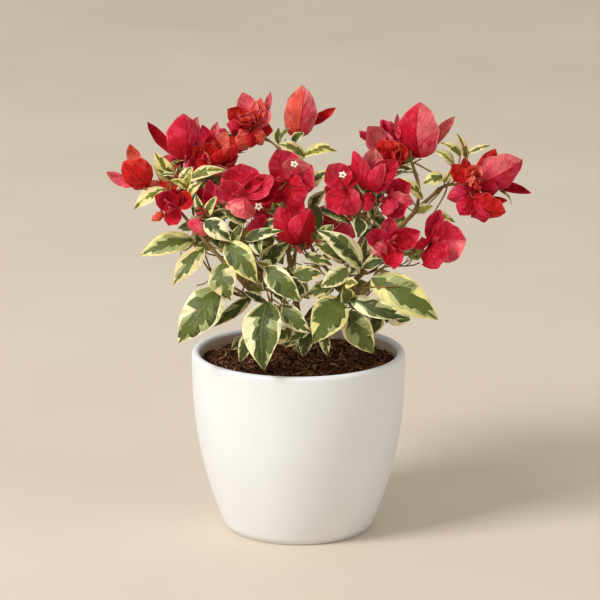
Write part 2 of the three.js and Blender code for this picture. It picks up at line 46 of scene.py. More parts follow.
viewBack = np.array([0.0, -math.cos(viewDown), math.sin(viewDown)]) * view["distance"]
eye = (np.array(view["lookAt"]) + viewBack) / mm


def unit(vector):
    return vector / np.linalg.norm(vector)


def sideways(direction, wanted):
    flat = wanted - direction * np.dot(wanted, direction)
    if np.dot(flat, flat) < 1e-4:
        flat = np.array([1.0, 0.0, 0.0]) - direction * direction[0]
    return unit(flat)


def squareTo(axis, angle):  # a direction square to an axis, at an angle round it from the top
    first = sideways(axis, up)
    return first * math.cos(angle) + np.cross(axis, first) * math.sin(angle)


def outwardAt(point):
    return unit(point - crownCentre)


def seededRandom(seed):
    state = seed
    whole = 0xFFFFFFFF

    def draw():
        nonlocal state
        state = (state + 0x6D2B79F5) & whole
        mixed = ((state ^ (state >> 15)) * (1 | state)) & whole
        mixed = ((mixed + ((mixed ^ (mixed >> 7)) * (61 | mixed))) & whole) ^ mixed
        return (mixed ^ (mixed >> 14)) / (whole + 1)

    return draw


def between(draw, span):
    return span[0] + (span[1] - span[0]) * draw()


class Curve:  # a cubic Bezier that can also be read by its share of length
    def __init__(self, *points):
        self.points = np.array(points, float)
        self.times = np.linspace(0, 1, 65)
        steps = np.linalg.norm(np.diff(self.at(self.times), axis=0), axis=1)
        self.length = steps.sum()
        self.runs = np.concatenate([[0], np.cumsum(steps)]) / self.length

    def at(self, time):
        t = np.asarray(time, float)[..., None]
        a, b, c, d = self.points
        return a * (1 - t) ** 3 + 3 * b * t * (1 - t) ** 2 + 3 * c * t * t * (1 - t) + d * t ** 3

    def heading(self, time):
        a, b, c, d = self.points
        t = time
        return unit((b - a) * (1 - t) ** 2 + 2 * (c - b) * t * (1 - t) + (d - c) * t * t)

    def timeAt(self, share):
        return np.interp(share, self.runs, self.times)

    def pointAt(self, share):
        return self.at(self.timeAt(share))

    def headingAt(self, share):
        return self.heading(self.timeAt(share))


# Trunk, boughs and side limbs: each limb leaves its parent at a share of its length.
trunk = {
    "foot": 129.5,
    "top": 160,
    "bend": [(2, 16), (2, 15), (3, 4), (0, 0)],
    "radii": (5.6, 4.2),
    "flare": 2,
    "flareHeight": 4.5,
    "sunk": 3,  # how far the bark goes on down into the soil
}
limbs = {
    "left_bough": dict(
        on="trunk", at=0.8, bend=[(-12, -30, 166), (-34, -48, 190)],
        tip=(-76, -38, 238), radii=(2.8, 1.6)),
    "right_bough": dict(
        on="trunk", at=0.84, bend=[(38, -8, 172), (52, -8, 215)],
        tip=(105, 0, 260), radii=(3.1, 1.7)),
    "centre_bough": dict(
        on="trunk", at=0.95, bend=[(-4, 6, 190), (-12, 18, 228)],
        tip=(-14, 24, 262), radii=(2.8, 1.6)),
    "back_left_bough": dict(
        on="trunk", at=0.72, bend=[(-8, 22, 172), (-40, 44, 190)],
        tip=(-50, 54, 228), radii=(2.6, 1.5)),
    "back_right_bough": dict(
        on="trunk", at=0.78, bend=[(16, 20, 172), (44, 42, 190)],
        tip=(54, 54, 226), radii=(2.7, 1.5)),
    "upper_left_limb": dict(
        on="left_bough", at=0.68, bend=[(-48, -8, 226), (-66, 0, 238)],
        tip=(-74, 2, 256), radii=(1.7, 1.3)),
    "low_left_limb": dict(
        on="left_bough", at=0.42, bend=[(-38, -14, 182), (-50, -28, 184)],
        tip=(-56, -34, 196), radii=(1.7, 1.3)),
    "centre_left_limb": dict(
        on="left_bough", at=0.56, bend=[(-34, -22, 206), (-38, -36, 216)],
        tip=(-41, -41, 232), radii=(1.8, 1.3)),
    "low_front_limb": dict(
        on="left_bough", at=0.2, bend=[(-12, -14, 172), (-18, -36, 172)],
        tip=(-20, -44, 180), radii=(1.7, 1.3)),
    "centre_front_limb": dict(
        on="centre_bough", at=0.36, bend=[(-6, -6, 204), (-4, -28, 208)],
        tip=(-2, -35, 222), radii=(1.8, 1.3)),
    "centre_right_limb": dict(
        on="right_bough", at=0.5, bend=[(48, -18, 206), (50, -34, 214)],
        tip=(50, -37, 232), radii=(1.9, 1.3)),
    "low_right_limb": dict(
        on="right_bough", at=0.3, bend=[(34, -18, 180), (40, -36, 174)],
        tip=(46, -44, 184), radii=(1.8, 1.3)),
    "right_low_limb": dict(
        on="right_bough", at=0.66, bend=[(68, -14, 218), (80, -26, 212)],
        tip=(86, -32, 220), radii=(1.7, 1.3)),
    "upper_right_limb": dict(
        on="right_bough", at=0.8, bend=[(90, -2, 248), (92, 0, 260)],
        tip=(85, 3, 276), radii=(1.7, 1.3)),
    "back_limb": dict(
        on="back_right_bough", at=0.45, bend=[(26, 46, 186), (10, 66, 188)],
        tip=(6, 74, 212), radii=(1.8, 1.3)),
    "left_side_limb": dict(
        on="back_left_bough", at=0.5, bend=[(-34, 28, 188), (-48, 20, 190)],
        tip=(-52, 14, 200), radii=(1.6, 1.2)),
    "right_side_limb": dict(
        on="back_right_bough", at=0.5, bend=[(38, 28, 188), (52, 20, 188)],
        tip=(58, 12, 196), radii=(1.6, 1.2)),
    "low_back_left_limb": dict(
        on="back_left_bough", at=0.36, bend=[(-18, 36, 172), (-30, 54, 168)],
        tip=(-38, 60, 178), radii=(1.6, 1.2)),
    "low_back_right_limb": dict(
        on="back_right_bough", at=0.3, bend=[(22, 22, 166), (44, 36, 162)],
        tip=(54, 48, 173), radii=(1.6, 1.2)),
}

# Masses. A bloom is its heart, its tone and its bracts; a bract is (tip, width, the side seen
# from the front, tone, and a root of its own where it isn't the heart). A bract's tone is partly
# its own colour and partly painted light: the darkest tones, such as wine, are partly painted
# shade, the palest, such as rose, partly a painted highlight, and two tones joined by + paint one
# half of a folded bract lit and the other in shade. crowd is a crumpled heart of small bracts,
# stars are open flowers and buds closed ones. A leaf is (root, tip, width, and its age where it
# isn't the mass's own). Shoots follow from the seed; twiggy is how many finer twigs they carry,
# leafy how long the leaves are.
masses = {
    "far_left_mass": dict(
        limb="left_bough", heart=(-102, -16, 256), reach=(48, 42, 46), seed=11, shoots=1,
        twiggy=0.4, age="young", leafy=(13, 19),
        blooms=[
            dict(at=(-111, -22, 265), tone="scarlet", buds=2, bracts=[
                ((-128, -30, 287), 23, "outer", "scarlet"),
                ((-124, -16, 297), 11, "inner", "coral", (-116, -18, 278)),
                ((-141, -20, 277), 9, "inner", "rose", (-122, -22, 267)),
                ((-102, -16, 268), 9, "outer", "coral")]),
            dict(at=(-89, -34, 254), tone="crimson", buds=5, bracts=[
                ((-105, -40, 263), 16, "inner", "crimson"), ((-93, -34, 267), 14, "inner", "wine"),
                ((-95, -44, 242), 13, "inner", "crimson"), ((-79, -38, 265), 14, "inner", "scarlet"),
                ((-108, -32, 243), 8, "outer", "coral", (-99, -32, 249))]),
            dict(at=(-82, -38, 244), tone="rose", bracts=[
                ((-67, -42, 234), 11, "outer", "rose")]),
        ],
        leaves=[
            ((-94, -8, 268), (-106, -10, 290), 14), ((-93, -12, 269), (-106, -16, 278), 6),
            ((-98, -26, 265), (-121, -32, 251), 13),
        ]),
    "upper_left_mass": dict(
        limb="upper_left_limb", heart=(-76, 8, 276), reach=(46, 42, 48), seed=12, shoots=1,
        twiggy=0.5, age="young", leafy=(13, 19),
        blooms=[
            dict(at=(-84, 2, 280), tone="crimson", buds=1, bracts=[
                ((-85, 8, 315), 27, "outer", "crimson+magenta"),
                ((-112, 12, 308), 9, "inner", "wine", (-92, 8, 285)),
                ((-75, 16, 311), 16, "inner", "rose"), ((-76, -6, 271), 9, "outer", "rose")]),
            dict(at=(-66, -6, 280), tone="scarlet", crowd=2, buds=2, bracts=[
                ((-50, -14, 294), 11, "outer", "scarlet"), ((-53, -4, 304), 15, "inner", "coral"),
                ((-64, 0, 301), 13, "inner", "wine"), ((-77, -10, 294), 14, "inner", "scarlet"),
                ((-71, 6, 307), 14, "inner", "crimson"), ((-60, 8, 309), 11, "inner", "rose"),
                ((-50, 2, 271), 8, "outer", "rose")]),
            dict(at=(-67, -36, 250), tone="crimson", buds=6, bracts=[
                ((-65, -36, 275), 12, "inner", "magenta"), ((-74, -32, 268), 11, "inner", "wine")]),
        ],
        leaves=[
            ((-82, -26, 266), (-94, -30, 273), 7), ((-80, -26, 272), (-52, -30, 280), 10),
            ((-81, -24, 265), (-77, -24, 282), 6), ((-81, -28, 259), (-70, -30, 272), 8),
            ((-87, -22, 270), (-78, -20, 281), 7),
        ]),
    "centre_left_mass": dict(
        limb="centre_left_limb", heart=(-42, -44, 250), reach=(40, 38, 48), seed=13, shoots=1,
        twiggy=0.9, leafy=(17, 25),
        blooms=[
            dict(at=(-40, -48, 266), tone="crimson", stars=[(-29, -60, 260)], buds=4, bracts=[
                ((-42, -42, 288), 31, "inner", "magenta+crimson"),
                ((-61, -54, 271), 19, "inner", "magenta"), ((-39, -62, 251), 23, "outer", "rose"),
                ((-18, -58, 281), 17, "inner", "magenta"), ((-14, -52, 273), 20, "inner", "wine")]),
            dict(at=(-8, -40, 274), tone="crimson", stars=[(-3, -50, 289)], buds=2, bracts=[
                ((-16, -36, 297), 24, "inner", "magenta"), ((10, -44, 287), 29, "inner", "magenta+rose"),
                ((0, -54, 259), 26, "outer", "crimson"), ((-24, -46, 262), 20, "inner", "wine"),
                ((5, -50, 270), 16, "outer", "crimson")]),
        ],
        leaves=[
            ((-71, -38, 252), (-75, -40, 265), 7), ((-67, -40, 249), (-59, -46, 265), 9),
            ((-68, -44, 245), (-49, -52, 232), 15, "pale"), ((-48, -46, 229), (-40, -50, 246), 8),
            ((-52, -48, 230), (-30, -62, 203), 20), ((-39, -50, 233), (-11, -56, 241), 9),
            ((-27, -42, 237), (-14, -46, 248), 10, "pale"), ((-27, -38, 210), (-6, -44, 230), 14),
        ]),
    "low_left_mass": dict(
        limb="low_left_limb", heart=(-64, -44, 204), reach=(48, 42, 52), seed=14, shoots=0,
        twiggy=0.5, leafy=(18, 27),
        leaves=[
            ((-78, -26, 227), (-117, -36, 217), 18, "pale"), ((-70, -36, 223), (-92, -48, 198), 17, "pale"),
            ((-58, -52, 197), (-88, -66, 159), 29), ((-56, -52, 215), (-49, -66, 191), 22),
            ((-35, -38, 187), (-64, -48, 166), 10), ((-27, -46, 186), (-40, -50, 194), 7),
        ]),
    "low_front_mass": dict(
        limb="low_front_limb", heart=(-20, -52, 188), reach=(44, 44, 56), seed=15, shoots=1,
        twiggy=1, leafy=(18, 27),
        leaves=[
            ((-23, -64, 189), (-25, -86, 144), 29), ((-34, -56, 166), (-43, -62, 143), 11),
            ((-24, -52, 212), (2, -66, 190), 18), ((-11, -58, 185), (9, -68, 167), 15),
            ((8, -50, 168), (-9, -54, 157), 10), ((7, -50, 165), (3, -56, 146), 11),
            ((17, -50, 162), (21, -54, 146), 8),
        ]),
    "low_right_mass": dict(
        limb="low_right_limb", heart=(44, -48, 192), reach=(64, 42, 50), seed=16, shoots=2,
        twiggy=1.1, leafy=(18, 28),
        leaves=[
            ((29, -56, 190), (11, -78, 162), 27), ((38, -52, 189), (81, -66, 178), 14),
            ((54, -46, 203), (102, -60, 175), 27, "pale"), ((36, -50, 178), (55, -58, 149), 22),
            ((35, -56, 213), (16, -62, 200), 14, "pale"),
        ]),
    "centre_front_mass": dict(
        limb="centre_front_limb", heart=(-2, -40, 246), reach=(40, 38, 52), seed=17, shoots=2,
        twiggy=1.2, leafy=(17, 25),
        blooms=[
            dict(at=(-2, -48, 228), tone="wine", buds=2, bracts=[
                ((9, -56, 257), 20, "outer", "crimson+wine"), ((-14, -52, 258), 19, "outer", "crimson"),
                ((-2, -44, 257), 19, "inner", "wine"),
                ((4, -58, 263), 13, "inner", "crimson", (-11, -54, 247)),
                ((-38, -50, 240), 9, "inner", "magenta", (-24, -46, 250))]),
        ],
        leaves=[
            ((8, -26, 251), (20, -28, 265), 9, "pale"), ((10, -30, 254), (16, -34, 236), 12),
            ((-3, -48, 207), (18, -56, 209), 13), ((25, -48, 201), (4, -54, 191), 11),
            ((5, -44, 220), (25, -48, 213), 8), ((8, -22, 267), (22, -24, 279), 12, "pale"),
        ]),
    "centre_right_mass": dict(
        limb="centre_right_limb", heart=(50, -40, 250), reach=(44, 36, 48), seed=18, shoots=1,
        twiggy=0.8, leafy=(16, 24),
        blooms=[
            dict(at=(35, -46, 271), tone="magenta", stars=[(32, -54, 282)], buds=1, bracts=[
                ((22, -46, 288), 21, "inner", "magenta"), ((39, -42, 287), 16, "inner", "crimson"),
                ((29, -56, 253), 27, "outer", "crimson"), ((43, -50, 253), 16, "outer", "magenta")]),
            dict(at=(53, -42, 267), tone="magenta", buds=1, bracts=[
                ((40, -40, 297), 14, "outer", "crimson"), ((54, -36, 299), 19, "inner", "rose"),
                ((72, -40, 290), 18, "inner", "crimson"), ((61, -46, 289), 12, "outer", "magenta"),
                ((49, -50, 254), 11, "outer", "crimson")]),
            dict(at=(65, -34, 262), tone="crimson", buds=3, bracts=[
                ((82, -38, 272), 17, "inner", "crimson"), ((76, -44, 248), 21, "inner", "crimson"),
                ((65, -46, 250), 15, "outer", "magenta"), ((85, -34, 257), 14, "outer", "rose")]),
        ],
        leaves=[
            ((46, -44, 211), (13, -54, 241), 17, "pale"), ((35, -44, 215), (11, -50, 230), 12, "pale"),
            ((57, -34, 239), (46, -38, 231), 8), ((49, -40, 214), (49, -42, 232), 10),
            ((48, -46, 211), (63, -50, 218), 8), ((49, -44, 210), (58, -46, 225), 7),
            ((55, -34, 246), (65, -38, 239), 8), ((17, -30, 251), (39, -36, 241), 10),
        ]),
    "right_low_mass": dict(
        limb="right_low_limb", heart=(84, -36, 226), reach=(44, 36, 40), seed=19, shoots=0,
        twiggy=0.1, leafy=(12, 18),
        blooms=[
            dict(at=(66, -44, 229), tone="crimson", buds=5, bracts=[
                ((67, -44, 249), 13, "inner", "magenta"), ((49, -50, 236), 16, "inner", "magenta"),
                ((70, -56, 212), 16, "inner", "crimson"), ((89, -46, 238), 17, "inner", "crimson"),
                ((54, -48, 221), 12, "outer", "rose")]),
            dict(at=(97, -34, 227), tone="crimson", buds=4, bracts=[
                ((104, -30, 251), 14, "inner", "magenta"),
                ((123, -40, 230), 31, "inner", "rose+magenta"),
                ((102, -46, 210), 25, "outer", "crimson"), ((85, -44, 229), 13, "outer", "crimson")]),
        ]),
    "top_mass": dict(
        limb="centre_bough", heart=(-16, 30, 286), reach=(54, 42, 42), seed=20, shoots=1,
        twiggy=0.6, age="young", leafy=(14, 20),
        blooms=[
            dict(at=(-36, 30, 300), tone="scarlet", crowd=4, buds=2, bracts=[
                ((-42, 44, 324), 17, "inner", "rose"), ((-28, 40, 321), 12, "inner", "coral"),
                ((-21, 42, 325), 6, "inner", "rose", (-29, 38, 306)),
                ((-53, 36, 313), 16, "inner", "scarlet"), ((-54, 34, 302), 14, "outer", "crimson"),
                ((-44, 26, 284), 16, "outer", "coral"), ((-35, 24, 286), 13, "outer", "scarlet"),
                ((-27, 28, 287), 13, "outer", "coral"), ((-19, 34, 297), 13, "inner", "scarlet"),
                ((-21, 38, 311), 14, "inner", "rose")]),
            dict(at=(-1, 42, 290), tone="coral", buds=1, bracts=[
                ((3, 46, 329), 25, "outer", "coral+rose"),
                ((28, 46, 312), 8, "inner", "scarlet", (4, 46, 298)),
                ((-5, 52, 317), 20, "inner", "rose")]),
        ],
        leaves=[
            ((4, 20, 279), (-16, 16, 290), 14), ((4, 22, 280), (29, 20, 284), 12),
        ]),
    "upper_right_mass": dict(
        limb="upper_right_limb", heart=(85, 5, 290), reach=(46, 40, 44), seed=21, shoots=0,
        twiggy=0.2, age="young", leafy=(12, 17),
        blooms=[
            dict(at=(71, 2, 283), tone="scarlet", crowd=3, buds=1, bracts=[
                ((51, 0, 307), 20, "inner", "rose"), ((61, -4, 298), 18, "outer", "scarlet"),
                ((63, 8, 310), 7, "inner", "wine"), ((73, 8, 315), 5, "inner", "rose", (74, 4, 297)),
                ((69, 6, 305), 14, "inner", "crimson"), ((81, 0, 289), 14, "outer", "scarlet"),
                ((57, -4, 284), 14, "outer", "crimson"), ((76, -6, 279), 10, "outer", "scarlet")]),
            dict(at=(91, 4, 282), tone="rose", bracts=[
                ((90, 6, 324), 31, "outer", "crimson+rose"),
                ((116, 12, 312), 9, "inner", "rose", (96, 12, 288)),
                ((83, 14, 312), 20, "inner", "crimson")]),
        ],
        leaves=[
            ((92, -2, 253), (73, -8, 270), 10), ((106, 0, 270), (92, -6, 265), 11),
        ]),
    "far_right_mass": dict(
        limb="right_bough", heart=(132, 2, 262), reach=(48, 40, 42), seed=22, shoots=1,
        twiggy=0.2, age="young", leafy=(12, 17),
        blooms=[
            dict(at=(132, 2, 262), tone="crimson", buds=1, bracts=[
                ((166, 4, 281), 28, "outer", "rose+magenta"),
                ((173, 6, 255), 8, "inner", "wine", (142, 8, 262)),
                ((146, 6, 289), 15, "outer", "scarlet"), ((150, -2, 279), 12, "inner", "wine"),
                ((110, -2, 253), 15, "outer", "magenta"), ((123, -4, 247), 16, "outer", "crimson"),
                ((148, -4, 260), 16, "outer", "crimson")]),
            dict(at=(126, -8, 267), tone="coral", crowd=3, buds=2, bracts=[
                ((113, -8, 280), 13, "inner", "scarlet"), ((122, -4, 284), 10, "inner", "scarlet"),
                ((134, -10, 280), 13, "inner", "coral")]),
            dict(at=(129, -8, 255), tone="scarlet", buds=2, bracts=[
                ((153, -14, 245), 19, "outer", "scarlet"), ((138, -12, 237), 23, "outer", "crimson"),
                ((119, -14, 243), 15, "outer", "crimson"),
                ((155, -4, 252), 7, "inner", "wine", (134, -6, 250))]),
        ],
        leaves=[
            ((115, 4, 276), (100, 2, 288), 10), ((120, 6, 283), (105, 4, 294), 8),
            ((124, 8, 281), (117, 10, 300), 7), ((126, 6, 286), (142, 4, 292), 6),
            ((108, 0, 265), (116, -2, 278), 6), ((100, -8, 243), (116, -12, 237), 8),
            ((89, -4, 243), (100, -6, 248), 8),
        ]),
    "back_left_mass": dict(
        limb="back_left_bough", heart=(-60, 62, 248), reach=(56, 46, 50), seed=23, shoots=6,
        twiggy=1.3, flowering=True, leafy=(17, 25)),
    "back_right_mass": dict(
        limb="back_right_bough", heart=(66, 58, 246), reach=(60, 46, 50), seed=24, shoots=8,
        twiggy=1.3, flowering=True, leafy=(17, 25)),
    "back_mass": dict(
        limb="back_limb", heart=(4, 84, 226), reach=(46, 40, 42), seed=25, shoots=6,
        twiggy=1.4, flowering=True, leafy=(18, 27)),
    "left_side_mass": dict(
        limb="left_side_limb", heart=(-58, 12, 218), reach=(34, 40, 44), seed=28, shoots=5,
        twiggy=1.5, leafy=(17, 25)),
    "right_side_mass": dict(
        limb="right_side_limb", heart=(62, 8, 212), reach=(34, 38, 42), seed=29, shoots=5,
        twiggy=1.5, leafy=(17, 25)),
    "low_back_left_mass": dict(
        limb="low_back_left_limb", heart=(-44, 66, 186), reach=(56, 40, 40), seed=26, shoots=8,
        twiggy=2.2, leafy=(20, 29)),
    "low_back_right_mass": dict(
        limb="low_back_right_limb", heart=(60, 56, 182), reach=(56, 42, 40), seed=27, shoots=7,
        twiggy=2.2, leafy=(20, 29)),
}
limbNodes = ["trunk", *limbs]
massNodes = list(masses)


def tone(red, green, blue):
    # a screen colour as the shader wants it
    shares = (red / 255, green / 255, blue / 255)
    return tuple(((s + 0.055) / 1.055) ** 2.4 if s > 0.0404 else s / 12.92 for s in shares) + (1,)


def addThing(name, data):
    thing = bpy.data.objects.new(name, data)
    bpy.context.scene.collection.objects.link(thing)
    return thing


def addMesh(name, points, faces):
    mesh = bpy.data.meshes.new(name)
    mesh.from_pydata(points, [], faces)
    return addThing(name, mesh)


def smoothShaded(mesh, sharpFrom):
    mesh.polygons.foreach_set("use_smooth", [True] * len(mesh.polygons))
    mesh.set_sharp_from_angle(angle=math.radians(sharpFrom))


def plainMaterial(name, colour, roughness, specular):
    material = bpy.data.materials.new(name)
    material.use_nodes = True
    shader = material.node_tree.nodes["Principled BSDF"]
    shader.inputs["Base Color"].default_value = colour
    shader.inputs["Roughness"].default_value = roughness
    shader.inputs["Specular IOR Level"].default_value = specular
    return material, material.node_tree, shader


def addNode(tree, kind, **settings):
    node = tree.nodes.new(kind)
    for key, value in settings.items():
        setattr(node, key, value)
    return node


def maths(tree, operation, first, second=None, third=None):
    node = addNode(tree, "ShaderNodeMath", operation=operation)
    for slot, value in enumerate((first, second, third)):
        if isinstance(value, bpy.types.NodeSocket):
            tree.links.new(value, node.inputs[slot])
        elif value is not None:
            node.inputs[slot].default_value = value
    return node.outputs[0]


def span(tree, value, fromLow, fromHigh, toLow, toHigh):
    node = addNode(tree, "ShaderNodeMapRange")
    tree.links.new(value, node.inputs["Value"])
    ends = {"From Min": fromLow, "From Max": fromHigh, "To Min": toLow, "To Max": toHigh}
    for label, number in ends.items():
        node.inputs[label].default_value = number
    return node.outputs[0]


def noiseOn(tree, scale, detail):
    place = addNode(tree, "ShaderNodeTexCoord")
    texture = addNode(tree, "ShaderNodeTexNoise")
    texture.inputs["Scale"].default_value = scale
    texture.inputs["Detail"].default_value = detail
    tree.links.new(place.outputs["Object"], texture.inputs["Vector"])
    return texture.outputs["Fac"]


def patchesOf(tree, scale, detail, sharpness, low=0, high=1):
    # patches of noise between two values; the nearer sharpness is to 0.5, the harder their edges
    return span(tree, noiseOn(tree, scale, detail), sharpness, 1 - sharpness, low, high)


def bumpFrom(tree, shader, height, strength, distance):
    bump = addNode(tree, "ShaderNodeBump")
    bump.inputs["Strength"].default_value = strength
    bump.inputs["Distance"].default_value = distance
    tree.links.new(height, bump.inputs["Height"])
    tree.links.new(bump.outputs[0], shader.inputs["Normal"])


def blend(tree, factor, first, second):
    node = addNode(tree, "ShaderNodeMix", data_type="RGBA")
    tree.links.new(factor, node.inputs[0])
    node.inputs[6].default_value = first
    node.inputs[7].default_value = second
    return node.outputs[2]


def grainyMaterial(name, colour, look):
    material, tree, shader = plainMaterial(name, colour, look["roughness"], look["specular"])
    bumpFrom(tree, shader, noiseOn(tree, *look["grain"]), *look["bump"])
    return material


def patchyMaterial(name, look):
    material, tree, shader = plainMaterial(name, look["colours"][0], look["roughness"], look["specular"])
    colour = blend(tree, patchesOf(tree, *look["patches"]), *look["colours"])
    tree.links.new(colour, shader.inputs["Base Color"])
    if look.get("grain"):
        bumpFrom(tree, shader, noiseOn(tree, *look["grain"]), *look["bump"])
    return material, tree, shader


# Veins run out from the midrib of a blade by its own map: across in x, root to tip in y.
veinLook = {
    "wanderScale": 260, "sharpness": 6, "ribWidth": 0.09, "glossScale": 500, "glossSpread": (-0.08, 0.1),
}


def veinedMaterial(name, colour, look):
    material, tree, shader = plainMaterial(name, colour, look["roughness"], look["specular"])
    place = addNode(tree, "ShaderNodeTexCoord")
    parts = addNode(tree, "ShaderNodeSeparateXYZ")
    tree.links.new(place.outputs["UV"], parts.inputs[0])
    side = maths(tree, "ABSOLUTE", maths(tree, "MULTIPLY_ADD", parts.outputs[0], 2, -1))
    bend = noiseOn(tree, veinLook["wanderScale"], 2)
    wander = maths(tree, "MULTIPLY_ADD", bend, look["wander"], parts.outputs[1])
    along = maths(tree, "MULTIPLY_ADD", side, -look["slant"], wander)
    wave = maths(tree, "SINE", maths(tree, "MULTIPLY", along, look["pairs"] * 2 * math.pi))
    vein = maths(tree, "POWER", span(tree, wave, -1, 1, 0, 1), veinLook["sharpness"])
    rib = span(tree, side, 0, veinLook["ribWidth"], 1, 0)
    grain = maths(tree, "MULTIPLY", noiseOn(tree, look["grainScale"], 4), look["grain"])
    height = maths(tree, "ADD", maths(tree, "ADD", vein, rib), grain)
    bumpFrom(tree, shader, height, look["bump"], look["depth"])
    smoothest, roughest = (look["roughness"] + spread for spread in veinLook["glossSpread"])
    gloss = patchesOf(tree, veinLook["glossScale"], 3, 0.3, smoothest, roughest)
    tree.links.new(gloss, shader.inputs["Roughness"])
    mottle = patchesOf(tree, look["mottleScale"], 3, 0.3)
    dark = tuple(value * (1 - look["mottle"]) for value in colour[:3]) + (1,)
    light = tuple(min(1, value * (1 + look["mottle"])) for value in colour[:3]) + (1,)
    tree.links.new(blend(tree, mottle, dark, light), shader.inputs["Base Color"])
    if look.get("glow"):
        shader.inputs["Subsurface Weight"].default_value = look["glow"]
        shader.inputs["Subsurface Radius"].default_value = look["glowReach"]
        shader.inputs["Subsurface Scale"].default_value = 1.0
    return material


leafLook = {
    "roughness": 0.5, "specular": 0.35, "pairs": 6, "slant": 0.3, "wander": 0.05,
    "bump": 0.35, "depth": 0.0006, "grain": 0.35, "grainScale": 900, "mottle": 0.14, "mottleScale": 160,
    "tones": {
        "cream": tone(236, 228, 178),
        "butter": tone(228, 216, 138),
        "peach": tone(230, 208, 150),
        "deepGreen": tone(60, 70, 20),
        "midGreen": tone(90, 100, 36),
        "greyGreen": tone(154, 160, 100),
        "paleGreen": tone(186, 190, 120),
        "youngGreen": tone(146, 146, 46),
        "olive": tone(112, 102, 26),
        "underGreen": tone(116, 118, 54),
        "underCream": tone(206, 196, 134),
    },
}
bractLook = {
    "roughness": 0.65, "specular": 0.12, "pairs": 5, "slant": 0.42, "wander": 0.12,
    "bump": 0.5, "depth": 0.0008, "grain": 0.8, "grainScale": 420, "mottle": 0.16, "mottleScale": 150,
    "glow": 0.12, "glowReach": (0.004, 0.001, 0.001),
    # the tones run dark to pale: the darkest are partly painted shade, the palest partly a painted highlight
    "tones": {
        "wine": tone(132, 8, 18),
        "garnet": tone(164, 9, 25),
        "crimson": tone(190, 19, 42),
        "magenta": tone(206, 42, 68),
        "cerise": tone(220, 70, 88),
        "rose": tone(232, 102, 108),
        "blush": tone(240, 138, 130),
        "scarlet": tone(196, 24, 22),
        "poppy": tone(212, 50, 40),
        "coral": tone(228, 84, 66),
        "salmon": tone(238, 112, 92),
    },
}


def bladeMaterials(look):
    return {name: veinedMaterial(name, colour, look) for name, colour in look["tones"].items()}


leafMaterials = bladeMaterials(leafLook)
bractMaterials = bladeMaterials(bractLook)
print("blade finishes made")


class Heap:  # gathers closed blades into one mesh
    def __init__(self, materials):
        self.materials = materials
        self.order = {name: number for number, name in enumerate(materials)}
        self.points, self.faces, self.finishes, self.maps = [], [], [], []
        self.count = 0

    def add(self, points, faces, finishes, maps):
        self.points.append(points)
        self.faces.extend([tuple(corner + self.count for corner in face) for face in faces])
        self.finishes.extend(self.order[name] for name in finishes)
        self.maps.append(maps)
        self.count += len(points)

    def make(self, name):
        mesh = bpy.data.meshes.new(name)
        mesh.from_pydata(np.concatenate(self.points) * mm, [], self.faces)
        for material in self.materials.values():
            mesh.materials.append(material)
        mesh.polygons.foreach_set("material_index", self.finishes)
        corners = np.zeros(len(mesh.loops), np.int32)
        mesh.loops.foreach_get("vertex_index", corners)
        layer = mesh.uv_layers.new(name="blade")
        layer.data.foreach_set("uv", np.concatenate(self.maps)[corners].ravel())
        smoothShaded(mesh, 75)
        return addThing(name, mesh)


def ringFaces(stations, ring):
    # a root point, rings of points and a tip point; columns go round the ring
    faces, columns, rows = [], [], []
    for j in range(ring):
        after = (j + 1) % ring
        faces.append((0, 1 + j, 1 + after))
        columns.append(j)
        rows.append(0)
        for i in range(stations - 1):
            low, high = 1 + i * ring, 1 + (i + 1) * ring
            faces.append((low + j, high + j, high + after, low + after))
            columns.append(j)
            rows.append(i + 1)
        last = 1 + (stations - 1) * ring
        faces.append((last + j, last + ring, last + after))
        columns.append(j)
        rows.append(stations)
    return faces, columns, rows


def stationsOf(count):  # shares of a blade's length, a little closer at both ends
    even = (np.arange(count) + 0.5) / count
    return 0.5 - 0.5 * np.sin((0.5 - even) * math.pi * 0.92) / math.sin(0.46 * math.pi)


def bothSides(*places):
    return (*(-place for place in reversed(places)), *places)


leafForm = {
    "stations": stationsOf(21), "lobes": 6, "fine": True,
    "swell": 0.62, "point": 0.86, "neck": 0.3, "neckPower": 4,  # the outline: round root, drawn-out tip
    "arch": 0.16, "fold": 0.26, "curl": -0.2, "wave": 0.09, "waves": 2.2, "twist": 0.3, "sway": 0.05,
    "sweep": 0.15, "crease": 0.0, "quilt": 0.16, "thickness": 0.3,
}
smallLeafForm = {**leafForm, "stations": stationsOf(14), "lobes": 5, "thickness": 0.24}
seededLeafForm = {**leafForm, "stations": stationsOf(7), "lobes": 3, "fine": False, "quilt": 0.1}
bractForm = {
    "stations": stationsOf(14), "columns": bothSides(0.03, 0.27, 0.5, 0.72, 0.93, 1),
    "swell": 0.46, "point": 0.52, "neck": 0.62, "neckPower": 8,
    "arch": -0.2, "fold": 0.1, "curl": 0.45, "wave": 0.2, "waves": 2.6, "twist": 0.3, "sway": 0.06,
    "sweep": 0.16, "crease": 0.008, "quilt": 0.2, "thickness": 0.18,
}
smallBractForm = {
    **bractForm, "stations": stationsOf(8), "columns": bothSides(0.04, 0.5, 0.9, 1), "crease": 0.012,
}


bladeSpread = {"fold": (0.6, 1.4), "curl": (0.5, 1.5)}  # how unlike one another blades are


def outline(form, share):
    def shape(s):
        return s ** form["swell"] * (1 - s) ** form["point"] * (1 - form["neck"] * s ** form["neckPower"])

    return shape(share) / shape(np.linspace(0.01, 0.99, 99)).max()


